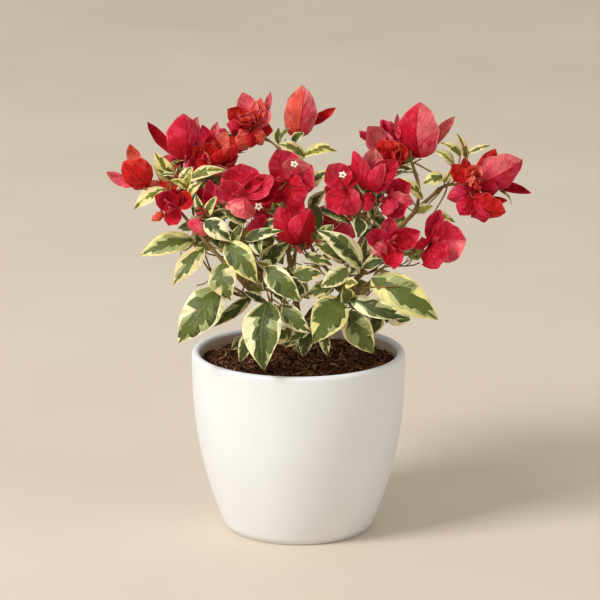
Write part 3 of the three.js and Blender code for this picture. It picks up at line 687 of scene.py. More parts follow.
# A blade is a closed skin: columns of the top from margin to margin, then back underneath.
# columns holds the places across the top, one row for each station, from -1 to 1. The rows
# sweep forwards to the margins as side veins do, and every other row stands a little proud.
def bladePoints(blade, form, columns, chance):
    run = blade["tip"] - blade["root"]
    length = np.linalg.norm(run)
    heading = run / length
    normal = sideways(heading, blade["facing"])
    across = np.cross(normal, heading)
    u = np.array(columns, float)
    away = np.abs(u)
    share = np.array(form["stations"])[:, None]
    share = share + form["sweep"] * away * 4 * share * (1 - share)
    half = blade["width"] / 2 * outline(form, share)
    arc = 4 * share * (1 - share)
    sway = form["sway"] * chance.uniform(-1, 1)
    turn = form["twist"] * chance.uniform(-1, 1) * (share - 0.2)
    sideAxis = np.cos(turn)[..., None] * across + np.sin(turn)[..., None] * normal
    faceAxis = np.cos(turn)[..., None] * normal - np.sin(turn)[..., None] * across
    phase = chance.uniform(0, 1, 2)[(u > 0).astype(int)]
    fold, curl = (form[key] * chance.uniform(*bladeSpread[key]) for key in ("fold", "curl"))
    wave = form["wave"] * np.sin(2 * math.pi * (form["waves"] * share + phase))
    rise = half * (fold * away + curl * away ** 2 + wave * away ** 1.5)
    rise += form["quilt"] * 4 * away * (1 - away) * (np.arange(len(u)) % 2 * 2 - 1)[:, None]
    rise += chance.normal(0, form["crease"] * length, u.shape) * (0.2 + away)
    offsets = (form["arch"] * arc)[..., None] * normal + (sway * arc)[..., None] * across
    top = blade["root"] + share[..., None] * run + offsets * length
    top += sideAxis * (half * u)[..., None] + faceAxis * rise[..., None]
    belly = (top - faceAxis * form["thickness"])[:, -2:0:-1]
    rings = np.concatenate([top, belly], axis=1).reshape(-1, 3)
    ringMaps = np.stack([0.5 + 0.5 * u, share], axis=-1)
    ringMaps = np.concatenate([ringMaps, ringMaps[:, -2:0:-1]], axis=1).reshape(-1, 2)
    points = np.concatenate([[blade["root"]], rings, [blade["tip"]]])
    return points, np.concatenate([[(0.5, 0.0)], ringMaps, [(0.5, 1.0)]])


marginTones = ["cream", "cream", "cream", "butter", "peach"]
leafTones = {
    "mature": dict(margin=marginTones, core=["deepGreen", "deepGreen", "midGreen"],
                   band=["midGreen", "greyGreen", "greyGreen", "midGreen", "deepGreen"], rib="midGreen"),
    "young": dict(margin=["butter", "peach", "cream"], core=["olive", "youngGreen", "midGreen"],
                  band=["youngGreen", "butter", "olive"], rib="youngGreen"),
    "pale": dict(margin=["cream", "peach", "butter"], core=["deepGreen", "midGreen"],
                 band=["greyGreen", "midGreen", "paleGreen"], rib="midGreen"),
}
# Variegation, by share of the half width: how far the green and its dark core reach, how much
# that differs from lobe to lobe, how far each lobe draws out along its side vein, and how
# often a lobe is cream to well inside the leaf. Young leaves have the least green.
variegation = {
    "green": {"mature": (0.7, 0.92), "young": (0.42, 0.8), "pale": (0.55, 0.85)},
    "core": (0.35, 0.8), "uneven": 0.09, "drawnOut": 0.2,
    "cuts": {"mature": 0.14, "young": 0.3, "pale": 0.3}, "cutTo": (0.2, 0.5), "rib": 0.035,
    "ragged": 0.02, "greenWithin": (0.14, 0.95), "coreWithin": (0.12, 0.92),
}


def zonesOf(form, age, chance):
    look = variegation
    along = form["stations"] * form["lobes"] + chance.uniform(0, 1)
    lobe = along.astype(int)
    drawn = (along - lobe - 0.5)[:, None] * look["drawnOut"]
    count = form["lobes"] + 1
    reach = chance.uniform(*look["green"][age], (1, 2)) + chance.normal(0, look["uneven"], (count, 2))
    cuts = chance.random((count, 2)) < look["cuts"][age]
    reach[cuts] = chance.uniform(*look["cutTo"], cuts.sum())
    inner = chance.uniform(*look["core"], (1, 2)) + chance.normal(0, 2 * look["uneven"], (count, 2))
    ragged = chance.normal(0, look["ragged"], (len(lobe), 2))
    green = np.clip(reach[lobe] + drawn + ragged, *look["greenWithin"])
    core = np.clip(inner[lobe] + 1.5 * drawn + ragged, *look["coreWithin"]) * green
    return green, core, lobe


def addLeaf(heap, leaf, chance):
    length = np.linalg.norm(leaf["tip"] - leaf["root"])
    form = seededLeafForm if not leaf["placed"] else leafForm if length > 20 else smallLeafForm
    rows = len(form["stations"])
    green, core, lobe = zonesOf(form, leaf["age"], chance)
    rib = variegation["rib"]
    columns = []
    for (leftGreen, rightGreen), (leftCore, rightCore) in zip(green, core):
        ribs = (-rib, rib) if form["fine"] else (0,)
        columns.append((-1, -leftGreen, -leftCore, *ribs, rightCore, rightGreen, 1))
    points, maps = bladePoints(leaf, form, columns, chance)
    strips = len(columns[0]) - 1
    faces, sides, lines = ringFaces(rows, 2 * strips)
    tones = leafTones[leaf["age"]]
    edge, main = (chance.choice(tones[key]) for key in ("margin", "core"))
    bands = chance.choice(tones["band"], (form["lobes"] + 1, 2))

    def finishOf(side, line):
        if side >= strips:
            return "underCream" if side in (strips, 2 * strips - 1) else "underGreen"
        if line == rows or side in (0, strips - 1):
            return edge
        if side in (1, strips - 2):
            return bands[lobe[line - 1], int(side > 1)]
        return tones["rib"] if form["fine"] and side == strips // 2 else main

    heap.add(points, faces, [finishOf(side, line) for side, line in zip(sides, lines)], maps)


# A bract's tone steps along one of two scales from dark to pale: darker at its throat, painted
# shade where the bracts cup together, and lighter at its tip and margins, a painted highlight,
# with random sectors and specks besides.
bractScales = {
    "cool": ("wine", "garnet", "crimson", "magenta", "cerise", "rose", "blush"),
    "warm": ("wine", "garnet", "scarlet", "poppy", "coral", "salmon", "blush"),
}
bractSteps = {
    "wine": ("cool", 0.5), "crimson": ("cool", 1.9), "magenta": ("cool", 2.8), "rose": ("cool", 4.4),
    "scarlet": ("warm", 1.9), "coral": ("warm", 4.0),
}
paintedShadingAndSpecks = {
    "length": 2.2, "lengthFrom": 0.45, "width": 0.7, "widthFrom": 0.4,
    "sectors": 6, "sector": 0.35, "speck": 0.25, "margin": 0.9, "rib": -1.6,
}


def addBract(heap, bract, chance):
    form = smallBractForm if bract["small"] else bractForm
    rows, strips = len(form["stations"]), len(form["columns"]) - 1
    points, maps = bladePoints(bract, form, [form["columns"]] * rows, chance)
    faces, sides, lines = ringFaces(rows, 2 * strips)
    # two tones joined by + give each half of a folded bract its own: one lit, one in painted shade
    halves = bract["tone"].split("+")
    sectors = chance.normal(0, paintedShadingAndSpecks["sector"], (2, paintedShadingAndSpecks["sectors"]))
    specks = chance.normal(0, paintedShadingAndSpecks["speck"], len(faces))
    middle = strips // 2

    def finishOf(side, line, speck):
        under = side >= strips
        column = 2 * strips - 1 - side if under else side
        half = int(column > middle)
        scale, step = bractSteps[halves[half * (len(halves) - 1)]]
        away, share = abs(column - middle) / middle, line / rows
        # painted shade towards the throat, where the bracts cup; painted highlight towards tip and margins
        shadeToLightAlong = paintedShadingAndSpecks["length"] * (share - paintedShadingAndSpecks["lengthFrom"])
        step += shadeToLightAlong + paintedShadingAndSpecks["width"] * (away - paintedShadingAndSpecks["widthFrom"])
        step += sectors[half, int((paintedShadingAndSpecks["sectors"] - 1) * share)] + speck
        if column == middle:
            step += paintedShadingAndSpecks["rib"] if under else 0
        # the margin itself is lighter still: a painted rim highlight
        elif away == 1:
            step += paintedShadingAndSpecks["margin"]
        palest = len(bractScales[scale]) - 1
        return bractScales[scale][int(min(palest, max(0, round(step))))]

    finishes = [finishOf(side, line, speck) for side, line, speck in zip(sides, lines, specks)]
    heap.add(points, faces, finishes, maps)


stemTip = 0.75
shootRadii = (0.75, 0.5)
twigRadii = (0.5, 0.34)
petioleRadii = (0.42, 0.3)
limbGirth = 0.8  # bark relief and knots take up the rest of a limb's room
scarGirth = {"bough": 0.45, "limb": 0.25}
scarCount = 7
leafSpacing = 12
bush = {"bark": [], "twigs": [], "leaves": [], "bracts": [], "stars": [], "buds": []}


def taper(radii, share):
    return radii[0] + (radii[1] - radii[0]) * share


def addLine(kind, curve, radiusAt, steps):
    shares = np.linspace(0, 1, steps + 1)
    bush[kind].append((curve.at(curve.timeAt(shares)), np.array([radiusAt(s) for s in shares])))


def addTwig(curve, radii, steps):
    addLine("twigs", curve, lambda share: taper(radii, share), steps)


def growLimbs():
    rise = (trunk["top"] - trunk["foot"]) / 3
    bends = [(x, y, trunk["foot"] + rise * i) for i, (x, y) in enumerate(trunk["bend"])]
    curves = {"trunk": Curve(*bends)}

    def trunkRadius(share):
        height = (trunk["top"] - trunk["foot"]) * share
        return taper(trunk["radii"], share) + trunk["flare"] * math.exp(-height / trunk["flareHeight"])

    line, radii = [(*trunk["bend"][0], trunk["foot"] - trunk["sunk"])], [trunkRadius(0)]
    shares = np.linspace(0, 1, 25)
    line += list(curves["trunk"].pointAt(shares))
    radii += [trunkRadius(share) for share in shares]
    bush["bark"].append((np.array(line), np.array(radii)))
    for name, limb in limbs.items():
        start = curves[limb["on"]].pointAt(limb["at"])
        curves[name] = Curve(start, *limb["bend"], limb["tip"])
        addLine("bark", curves[name], girthOf(limb), 28)
    return curves


def girthOf(limb):  # a limb is a little thicker at each old leaf scar
    scar = scarGirth["bough" if limb["on"] == "trunk" else "limb"]

    def radiusAt(share):
        swelling = max(0.0, math.cos(share * scarCount * 2 * math.pi)) ** 12
        return limbGirth * taper(limb["radii"], share) + scar * swelling

    return radiusAt


# Shoots leave the stem a little below the nearest place to their end, and carry leaves in a
# spiral; in a flowering mass each ends in a bloom, unless that would stand in the sky.
shootHabit = {
    "lowest": 0.12, "below": 0.22, "scatter": (-0.06, 0.06),
    "rise": (-0.55, 1), "outwards": 0.7, "reach": (0.5, 0.8),
    "fewestLeaves": 3, "leavesFrom": 0.3, "leavesRun": 0.7, "leafGrowth": 1.15,
    "bloomSize": (19, 27), "bloomTones": ("crimson", "magenta", "scarlet"),
}


def shootFrom(stem, target, draw):
    shares = np.linspace(0, 1, 13)
    away = np.linalg.norm(stem.pointAt(shares) - target, axis=1)
    nearest = shares[int(away.argmin())]
    start = max(shootHabit["lowest"], nearest - shootHabit["below"]) + between(draw, shootHabit["scatter"])
    return stem.pointAt(start), stem.headingAt(start)


def twigCurve(start, leaving, end):
    run = end - start
    length = np.linalg.norm(run)
    arriving = unit(run / length + up * 0.35)
    return Curve(start, start + leaving * length * 0.35, end - arriving * length * 0.3, end)


def insideSpace(point, mass):
    away = (point - np.array(mass["heart"])) / np.array(mass["reach"])
    return np.dot(away, away) < 1


# What a new leaf keeps clear of: other leaves by a share of its length, and what is to be
# seen with the space in front of it, so that leaves hang behind and between the blooms.
taken = {"centres": [], "shown": []}
clearance = {
    "leaf": 0.4, "shown": 0.62, "front": 34, "back": 5, "soil": 134, "potRadius": 84, "potTop": 141,
    "boughs": ("left_bough", "right_bough"), "boughWidth": 7,
    "potInside": 66, "ownShare": 0.15, "middleSky": 3, "tipSky": 2, "bloomSky": 14,
    "skySteps": 9, "skyDrop": 4, "lowestShoot": 152,
}
forwards = unit(np.array([0, -1, 0.2]))

# Sky that shows right through the crown from the front: on the upright plane through the
# pot's axis, how far across, how high, and the half sizes there.
skies = [
    (-68, 199, 19, 13), (-49, 163, 14, 14), (101, 280, 12, 8), (29, 284, 13, 11), (11, 252, 9, 10),
    (68, 198, 22, 8), (80, 256, 12, 8), (-22, 284, 12, 9), (101, 194, 15, 12), (96, 238, 14, 12),
    (108, 256, 15, 15),
]


def throughSky(point, margin=0):
    across, _, height = eye + (point - eye) * eye[1] / (eye[1] - point[1])
    return any(((across - x) / (wide + margin)) ** 2 + ((height - z) / (high + margin)) ** 2 < 1
               for x, z, wide, high in skies)


def hidesShown(point, length):
    for middle, facing, width in taken["shown"]:
        away = point - middle
        height = np.dot(away, facing)
        if -clearance["back"] < height < clearance["front"]:
            room = clearance["shown"] * width + clearance["ownShare"] * length
            if np.linalg.norm(away - facing * height) < room:
                return True
    return False


def belowSky(target, margin):  # a shoot that would end in the sky ends lower
    for _ in range(clearance["skySteps"]):
        if throughSky(target, margin):
            target = target - up * clearance["skyDrop"]
    return np.maximum(target, (-math.inf, -math.inf, clearance["lowestShoot"]))


def hasRoom(middle, tip, length):
    if hidesShown(middle, length) or hidesShown(tip, 0):
        return False
    if throughSky(middle, clearance["middleSky"]) or throughSky(tip, clearance["tipSky"]):
        return False
    if any(np.linalg.norm(middle - centre) < clearance["leaf"] * length for centre in taken["centres"]):
        return False
    out = np.hypot(tip[0], tip[1])
    overRim = clearance["potInside"] <= out < clearance["potRadius"]
    return tip[2] > clearance["potTop" if overRim else "soil"]


def keepLeaf(root, tip, facing, width, age, placed=False):
    bush["leaves"].append(dict(root=root, tip=tip, facing=facing, width=width, age=age, placed=placed))
    taken["centres"].append((root + tip) / 2)


# A leaf on a twig: a short petiole, then a blade that leans outwards and droops.
leafHabit = {
    "aspect": 0.6, "widths": (0.9, 1.12), "petiole": 0.17, "lift": 0.02,
    "along": 0.45, "outwards": 0.5, "droop": 0.15, "upwards": 0.9, "tilt": 0.22,
}


def sproutLeaf(base, along, angle, length, mass, chance, age):
    habit = leafHabit
    heading = squareTo(along, angle) + along * habit["along"] + outwardAt(base) * habit["outwards"]
    heading = unit(heading - up * habit["droop"])
    tip = base + heading * length
    if not insideSpace(tip, mass) or not hasRoom((base + tip) / 2, tip, length):
        return
    root = base + heading * length * habit["petiole"] + up * length * habit["lift"]
    addTwig(Curve(base, base + heading * 0.6, root - heading * 0.6, root), petioleRadii, 2)
    facing = unit(outwardAt(base) + up * habit["upwards"] + chance.normal(0, habit["tilt"], 3))
    keepLeaf(root, tip, facing, length * habit["aspect"] * chance.uniform(*habit["widths"]), age)


facings = {
    "inner": np.array([0, -1, 0.15]), "outer": np.array([0, 1, 0.15]),
    "leaf": np.array([0, -0.9, 0.7]), "bloom": np.array([0, -0.5, 0.2]),
}
crowdTones = {
    "scarlet": ["scarlet", "scarlet", "coral", "crimson"], "coral": ["coral", "scarlet", "coral"],
    "crimson": ["crimson", "magenta", "wine"], "magenta": ["magenta", "crimson", "rose"],
}


# Seeded blooms open round an axis; a crowd is small bracts in a spiral, from the heart outwards.
bloomHabit = {
    "bracts": 4, "opened": (0.75, 1.2), "widths": (0.85, 1.05), "towardsAxis": 0.35,
    "crowd": 3, "crowdReach": (0.4, 0.62), "crowdWidths": (1.0, 1.35), "crowdTilt": 0.45,
    "crowdScatter": 1.2, "starStalk": 14, "budTilt": 0.35, "budScatter": 0.8, "budLength": (7, 12),
}


def growBloom(bloom, facing, draw, chance):
    habit = bloomHabit
    heart = np.array(bloom["at"], float)
    bracts = list(bloom.get("bracts", []))
    size = bloom.get("size") or np.mean([np.linalg.norm(np.array(bract[0]) - heart) for bract in bracts])
    turn = draw() * 2 * math.pi

    def spreadAt(angle, opened):
        return squareTo(facing, angle) * math.sin(opened) + facing * math.cos(opened)

    def keepBract(root, tip, width, towards, name, small=False):
        bush["bracts"].append(dict(root=root, tip=tip, facing=towards, width=width, tone=name, small=small))
        taken["shown"].append(((root + tip) / 2, facing, width))

    for i in range(0 if bracts else habit["bracts"]):
        angle = turn + i * 2 * math.pi / habit["bracts"]
        tip = heart + spreadAt(angle, between(draw, habit["opened"])) * size
        bracts.append((tip, size * between(draw, habit["widths"]), "axis", bloom["tone"]))
    for tip, width, side, name, *own in bracts:
        tip = np.array(tip, float)
        root = np.array(own[0], float) if own else heart + unit(tip - heart) * 0.6 - facing * 0.5
        keepBract(root, tip, width, facings.get(side, facing) + facing * habit["towardsAxis"], name)
    crowd = habit["crowd"] * bloom.get("crowd", 0)
    for k in range(crowd):
        heading = spreadAt(turn + (k + 0.5) * goldenAngle, 0.25 + 0.75 * (k + 1) / crowd)
        reach = size * chance.uniform(*habit["crowdReach"])
        base = heart + facing * 1.5 + chance.normal(0, habit["crowdScatter"], 3)
        name = chance.choice(crowdTones[bloom["tone"]])
        turned = facing + chance.normal(0, habit["crowdTilt"], 3)
        width = reach * chance.uniform(*habit["crowdWidths"])
        keepBract(base, base + heading * reach, width, turned, name, small=True)
    for star in bloom.get("stars", []):
        star = np.array(star, float)
        bush["stars"].append((star, unit(star - heart + facing * habit["starStalk"])))
    for _ in range(bloom.get("buds", 0)):
        lean = unit(facing + chance.normal(0, habit["budTilt"], 3))
        place = heart + chance.normal(0, habit["budScatter"], 3)
        bush["buds"].append((place, lean, chance.uniform(*habit["budLength"])))


def bloomFacing(place):
    return unit(outwardAt(place) + facings["bloom"])


def plantMass(mass, chance):  # the blooms and leaves that have places of their own
    for bloom in mass.get("blooms", []):
        place = np.array(bloom["at"], float)
        growBloom(bloom, bloomFacing(place), seededRandom(mass["seed"]), chance)
    for root, tip, width, *own in mass.get("leaves", []):
        root, tip = np.array(root, float), np.array(tip, float)
        facing = outwardAt(root) * 0.6 + facings["leaf"]
        age = own[0] if own else mass.get("age", "mature")
        keepLeaf(root - unit(tip - root) * 0.6, tip, facing, width, age, placed=True)
        taken["shown"].append(((root + tip) / 2, unit(facing), width * 0.8))


def growMass(mass, curves, chance):
    habit = shootHabit
    draw, bloomDraw = seededRandom(mass["seed"]), seededRandom(mass["seed"] + 100)
    heart = np.array(mass["heart"], float)
    limb = curves[mass["limb"]]
    start, heading = limb.at(1.0), limb.heading(1.0)
    run = np.linalg.norm(heart - start)
    stem = Curve(start - heading, start + heading * run * 0.4, heart - outwardAt(heart) * run * 0.3, heart)
    addTwig(stem, (limbGirth * limbs[mass["limb"]]["radii"][1], stemTip), 10)
    shoots = []

    def grow(target):
        base, leaving = shootFrom(stem, target, draw)
        shoot = twigCurve(base, leaving, target)
        addTwig(shoot, shootRadii, 8)
        shoots.append(shoot)
        return shoot

    for bloom in mass.get("blooms", []):
        grow(np.array(bloom["at"], float))
    for root, *_ in mass.get("leaves", []):
        grow(np.array(root, float))

    for i in range(mass["shoots"]):
        turn = draw() * 2 * math.pi
        rise = between(draw, habit["rise"])
        flat = math.sqrt(1 - rise * rise)
        direction = np.array([math.cos(turn) * flat, math.sin(turn) * flat, rise])
        direction = unit(direction + outwardAt(heart) * habit["outwards"])
        target = heart + direction * np.array(mass["reach"]) * between(draw, habit["reach"])
        shoot = grow(belowSky(target, clearance["bloomSky"] if mass.get("flowering") else 0))
        target = shoot.points[3]
        count = max(habit["fewestLeaves"], round(shoot.length / leafSpacing))
        for k in range(count):
            share = habit["leavesFrom"] + habit["leavesRun"] * (k + 0.6) / count
            age = "young" if k == count - 1 else "mature"
            length = between(draw, mass["leafy"]) * habit["leafGrowth"]
            angle = turn + k * goldenAngle
            sproutLeaf(shoot.at(share), shoot.heading(share), angle, length, mass, chance, age)
        if mass.get("flowering") and not throughSky(target, clearance["bloomSky"]):
            facing = unit(direction + up * 0.3)
            bloom = dict(
                at=target, size=between(bloomDraw, habit["bloomSize"]), tone=habit["bloomTones"][i % 3],
                buds=1 + i % 3, crowd=int(i % 3 == 2), stars=[target + facing * 5] if i % 4 == 1 else [])
            growBloom(bloom, facing, bloomDraw, chance)
    for parent in [stem, *shoots]:
        growFinerTwigs(parent, mass, chance)


# Finer twigs leave the stem and the shoots in turn, each with a few leaves of its own.
twigHabit = {
    "from": 0.2, "run": 0.75, "turn": 0.4, "length": (9, 18),
    "along": 0.6, "outwards": 0.4, "upwards": 0.1,
    "leaves": (0.45, 0.75, 1.0), "lastLeaf": 0.8, "youngTips": 0.4,
}


def growFinerTwigs(parent, mass, chance):
    habit = twigHabit
    count = int(round(parent.length / leafSpacing * mass["twiggy"]))
    for k in range(count):
        share = habit["from"] + habit["run"] * (k + chance.uniform(0.1, 0.9)) / count
        base, along = parent.at(share), parent.heading(share)
        angle = k * goldenAngle + chance.uniform(-habit["turn"], habit["turn"])
        heading = squareTo(along, angle) + along * habit["along"] + outwardAt(base) * habit["outwards"]
        heading = unit(heading + up * habit["upwards"])
        end = base + heading * chance.uniform(*habit["length"])
        if not insideSpace(end, mass) or not hasRoom(end, end, habit["length"][0]):
            continue
        twig = twigCurve(base, unit(along + heading), end)
        addTwig(twig, twigRadii, 4)
        for leafNumber, place in enumerate(habit["leaves"]):
            length = chance.uniform(*mass["leafy"]) * (1 if place < 1 else habit["lastLeaf"])
            age = "young" if place == 1.0 and chance.random() < habit["youngTips"] else "mature"
            turned = angle + leafNumber * math.pi * 0.85
            sproutLeaf(twig.at(place), twig.heading(place), turned, length, mass, chance, age)


def showBoughs(curves):  # seeded leaves don't hang in front of the two boughs that spread forwards
    for name in clearance["boughs"]:
        for share in np.linspace(0.3, 1, 15):
            taken["shown"].append((curves[name].pointAt(share), forwards, clearance["boughWidth"]))


# Leafy twigs along the limbs fill the middle of the crown.
limbTwigs = {
    "limbs": ("centre_bough", "back_left_bough", "back_right_bough", "right_bough", "back_limb",
              "centre_front_limb", "upper_left_limb", "left_side_limb", "right_side_limb"),
    "seed": 40, "heart": (2, 24, 214), "reach": (66, 52, 44), "twiggy": 1.1, "leafy": (17, 25),
}

limbCurves = growLimbs()
chance = np.random.default_rng(7)
showBoughs(limbCurves)
for mass in masses.values():
    plantMass(mass, chance)
for mass in masses.values():
    growMass(mass, limbCurves, chance)
for number, name in enumerate(limbTwigs["limbs"]):
    growFinerTwigs(limbCurves[name], limbTwigs, np.random.default_rng(limbTwigs["seed"] + number))
print("grown:", {kind: len(items) for kind, items in bush.items()})

leafHeap, bractHeap = Heap(leafMaterials), Heap(bractMaterials)
for leaf in bush["leaves"]:
    addLeaf(leafHeap, leaf, chance)
for bract in bush["bracts"]:
    addBract(bractHeap, bract, chance)
leaves = leafHeap.make("leaves")
bracts = bractHeap.make("bracts")
print("leaves:", len(leaves.data.polygons), "faces; bracts:", len(bracts.data.polygons), "faces")


def readValue(tree, name, kind="FLOAT"):
    node = addNode(tree, "GeometryNodeInputNamedAttribute", data_type=kind)
    node.inputs["Name"].default_value = name
    return node


def newTree(name, sockets):
    tree = bpy.data.node_groups.new(name, "GeometryNodeTree")
    tree.interface.new_socket("Geometry", in_out="INPUT", socket_type="NodeSocketGeometry")
    for label, kind in sockets:
        tree.interface.new_socket(label, in_out="INPUT", socket_type="NodeSocket" + kind)
    tree.interface.new_socket("Geometry", in_out="OUTPUT", socket_type="NodeSocketGeometry")
    return tree, tree.nodes.new("NodeGroupInput"), tree.nodes.new("NodeGroupOutput")


def finishTree(tree, inputs, outputs, geometry):
    realized = addNode(tree, "GeometryNodeRealizeInstances")
    finished = addNode(tree, "GeometryNodeSetMaterial")
    tree.links.new(geometry, realized.inputs[0])
    tree.links.new(realized.outputs[0], finished.inputs[0])
    tree.links.new(inputs.outputs["Material"], finished.inputs["Material"])
    tree.links.new(finished.outputs[0], outputs.inputs[0])


def runTree(source, tree, name, settings):
    modifier = source.modifiers.new(tree.name, "NODES")
    modifier.node_group = tree
    sockets = {item.name: item.identifier for item in tree.interface.items_tree if item.in_out == "INPUT"}
    for label, value in settings.items():
        modifier[sockets[label]] = value
    graph = bpy.context.evaluated_depsgraph_get()
    mesh = bpy.data.meshes.new_from_object(source.evaluated_get(graph), depsgraph=graph)
    mesh.name = name
    source.modifiers.remove(modifier)
    return addThing(name, mesh)


def discard(*things):
    for thing in things:
        bpy.data.objects.remove(thing)


def joined(name, pieces):
    # several plain meshes as one, with their materials
    materials, points, faces, finishes, smooth, count = [], [], [], [], [], 0
    for piece in pieces:
        mesh = piece.data
        start = len(materials)
        materials += list(mesh.materials)
        place = np.zeros(len(mesh.vertices) * 3)
        mesh.vertices.foreach_get("co", place)
        points.append(place.reshape(-1, 3))
        for face in mesh.polygons:
            faces.append(tuple(corner + count for corner in face.vertices))
            finishes.append(start + face.material_index)
            smooth.append(face.use_smooth)
        count += len(mesh.vertices)
    whole = bpy.data.meshes.new(name)
    whole.from_pydata(np.concatenate(points), [], faces)
    for material in materials:
        whole.materials.append(material)
    whole.polygons.foreach_set("material_index", finishes)
    whole.polygons.foreach_set("use_smooth", smooth)
    discard(*pieces)
    return addThing(name, whole)


# Tubes along lines: each line's own girth, with bark relief pushed out along the normal.
def tubeTree():
    tree, inputs, outputs = newTree("tubesAlongLines", [
        ("Sides", "Int"), ("Relief", "Float"), ("Relief scale", "Float"), ("Material", "Material")])
    link = tree.links.new
    girth = readValue(tree, "girth")
    curve = addNode(tree, "GeometryNodeMeshToCurve")
    ring = addNode(tree, "GeometryNodeCurvePrimitiveCircle")
    ring.inputs["Radius"].default_value = 1
    tube = addNode(tree, "GeometryNodeCurveToMesh")
    tube.inputs["Fill Caps"].default_value = True
    link(inputs.outputs["Geometry"], curve.inputs["Mesh"])
    link(inputs.outputs["Sides"], ring.inputs["Resolution"])
    link(curve.outputs[0], tube.inputs["Curve"])
    link(ring.outputs[0], tube.inputs["Profile Curve"])
    link(girth.outputs[0], tube.inputs["Scale"])
    place = addNode(tree, "GeometryNodeInputPosition")
    stretch = addNode(tree, "ShaderNodeVectorMath", operation="MULTIPLY")
    stretch.inputs[1].default_value = (1, 1, 0.3)
    bark = addNode(tree, "ShaderNodeTexNoise")
    bark.inputs["Detail"].default_value = 3
    link(place.outputs[0], stretch.inputs[0])
    link(stretch.outputs[0], bark.inputs["Vector"])
    link(inputs.outputs["Relief scale"], bark.inputs["Scale"])
    height = maths(tree, "MULTIPLY", maths(tree, "SUBTRACT", bark.outputs[0], 0.5), inputs.outputs["Relief"])
    height = maths(tree, "MULTIPLY", height, girth.outputs[0])
    normal = addNode(tree, "GeometryNodeInputNormal")
    offset = addNode(tree, "ShaderNodeVectorMath", operation="SCALE")
    link(normal.outputs[0], offset.inputs[0])
    link(height, offset.inputs["Scale"])
    moved = addNode(tree, "GeometryNodeSetPosition")
    link(tube.outputs[0], moved.inputs["Geometry"])
    link(offset.outputs[0], moved.inputs["Offset"])
    smooth = addNode(tree, "GeometryNodeSetShadeSmooth")
    link(moved.outputs[0], smooth.inputs["Geometry"])
    finishTree(tree, inputs, outputs, smooth.outputs[0])
    return tree


def linesObject(lines):
    points, girths, edges, count = [], [], [], 0
    for line, radii in lines:
        points.append(line * mm)
        girths.append(radii * mm)
        edges += [(count + i, count + i + 1) for i in range(len(line) - 1)]
        count += len(line)
    mesh = bpy.data.meshes.new("lines")
    mesh.from_pydata(np.concatenate(points), edges, [])
    mesh.attributes.new("girth", "FLOAT", "POINT").data.foreach_set("value", np.concatenate(girths))
    return addThing("lines", mesh)


barkLook = {
    "colours": (tone(152, 124, 70), tone(104, 78, 42)), "roughness": 0.75, "specular": 0.25,
    "patches": (90, 5, 0.35), "grain": (540, 4), "bump": (0.5, 0.0005),
    "sides": 14, "relief": 0.36, "reliefScale": 420,
}
twigLook = {
    **barkLook, "colours": (tone(146, 126, 62), tone(116, 76, 46)), "patches": (45, 5, 0.35),
    "grain": (270, 4), "sides": 6, "relief": 0.12, "reliefScale": 600,
}


def woodPiece(name, lines, look, materialName):
    source = linesObject(lines)
    made = runTree(source, tubes, name, {
        "Sides": look["sides"], "Relief": look["relief"], "Relief scale": look["reliefScale"],
        "Material": patchyMaterial(materialName, look)[0]})
    discard(source)
    return made


tubes = tubeTree()
bark = woodPiece("bark", bush["bark"], barkLook, "barkBrown")
twigs = woodPiece("twigs", bush["twigs"], twigLook, "twigOlive")
print("bark:", len(bark.data.polygons), "twigs:", len(twigs.data.polygons), "faces")


def shapeObject(name, rings):
    # rings of (radii, height): one radius for each side, so a ring may have lobes
    points, faces = [], []
    sides = len(rings[0][0])
    for radii, height in rings:
        for j, radius in enumerate(radii):
            angle = 2 * math.pi * j / sides
            points.append((radius * math.cos(angle), radius * math.sin(angle), height))
    for i in range(len(rings) - 1):
        for j in range(sides):
            after = (j + 1) % sides
            faces.append((i * sides + j, i * sides + after, (i + 1) * sides + after, (i + 1) * sides + j))
    faces.append(tuple(reversed(range(sides))))
    last = (len(rings) - 1) * sides
    faces.append(tuple(range(last, last + sides)))
    return addMesh(name, points, faces)


def instanceTree():
    tree, inputs, outputs = newTree("shapesOnPoints", [("Shape", "Object"), ("Material", "Material")])
    link = tree.links.new
    lean, size = readValue(tree, "lean", "FLOAT_VECTOR"), readValue(tree, "size")
    shape = addNode(tree, "GeometryNodeObjectInfo")
    link(inputs.outputs["Shape"], shape.inputs["Object"])
    turn = addNode(tree, "FunctionNodeAlignRotationToVector", axis="Z")
    link(lean.outputs[0], turn.inputs["Vector"])
    spots = addNode(tree, "GeometryNodeMeshToPoints")
    copies = addNode(tree, "GeometryNodeInstanceOnPoints")
    link(inputs.outputs["Geometry"], spots.inputs[0])
    link(spots.outputs[0], copies.inputs["Points"])
    link(shape.outputs["Geometry"], copies.inputs["Instance"])
    link(turn.outputs[0], copies.inputs["Rotation"])
    link(size.outputs[0], copies.inputs["Scale"])
    smooth = addNode(tree, "GeometryNodeSetShadeSmooth")
    realized = addNode(tree, "GeometryNodeRealizeInstances")
    link(copies.outputs[0], realized.inputs[0])
    link(realized.outputs[0], smooth.inputs["Geometry"])
    finishTree(tree, inputs, outputs, smooth.outputs[0])
    return tree


def spotsObject(spots):
    mesh = bpy.data.meshes.new("spots")
    mesh.from_pydata([tuple(np.array(place) * mm) for place, _, _ in spots], [], [])
    leans = np.array([lean for _, lean, _ in spots]).ravel()
    mesh.attributes.new("lean", "FLOAT_VECTOR", "POINT").data.foreach_set("vector", leans)
    sizes = [size * mm for _, _, size in spots]
    mesh.attributes.new("size", "FLOAT", "POINT").data.foreach_set("value", sizes)
    return addThing("spots", mesh)


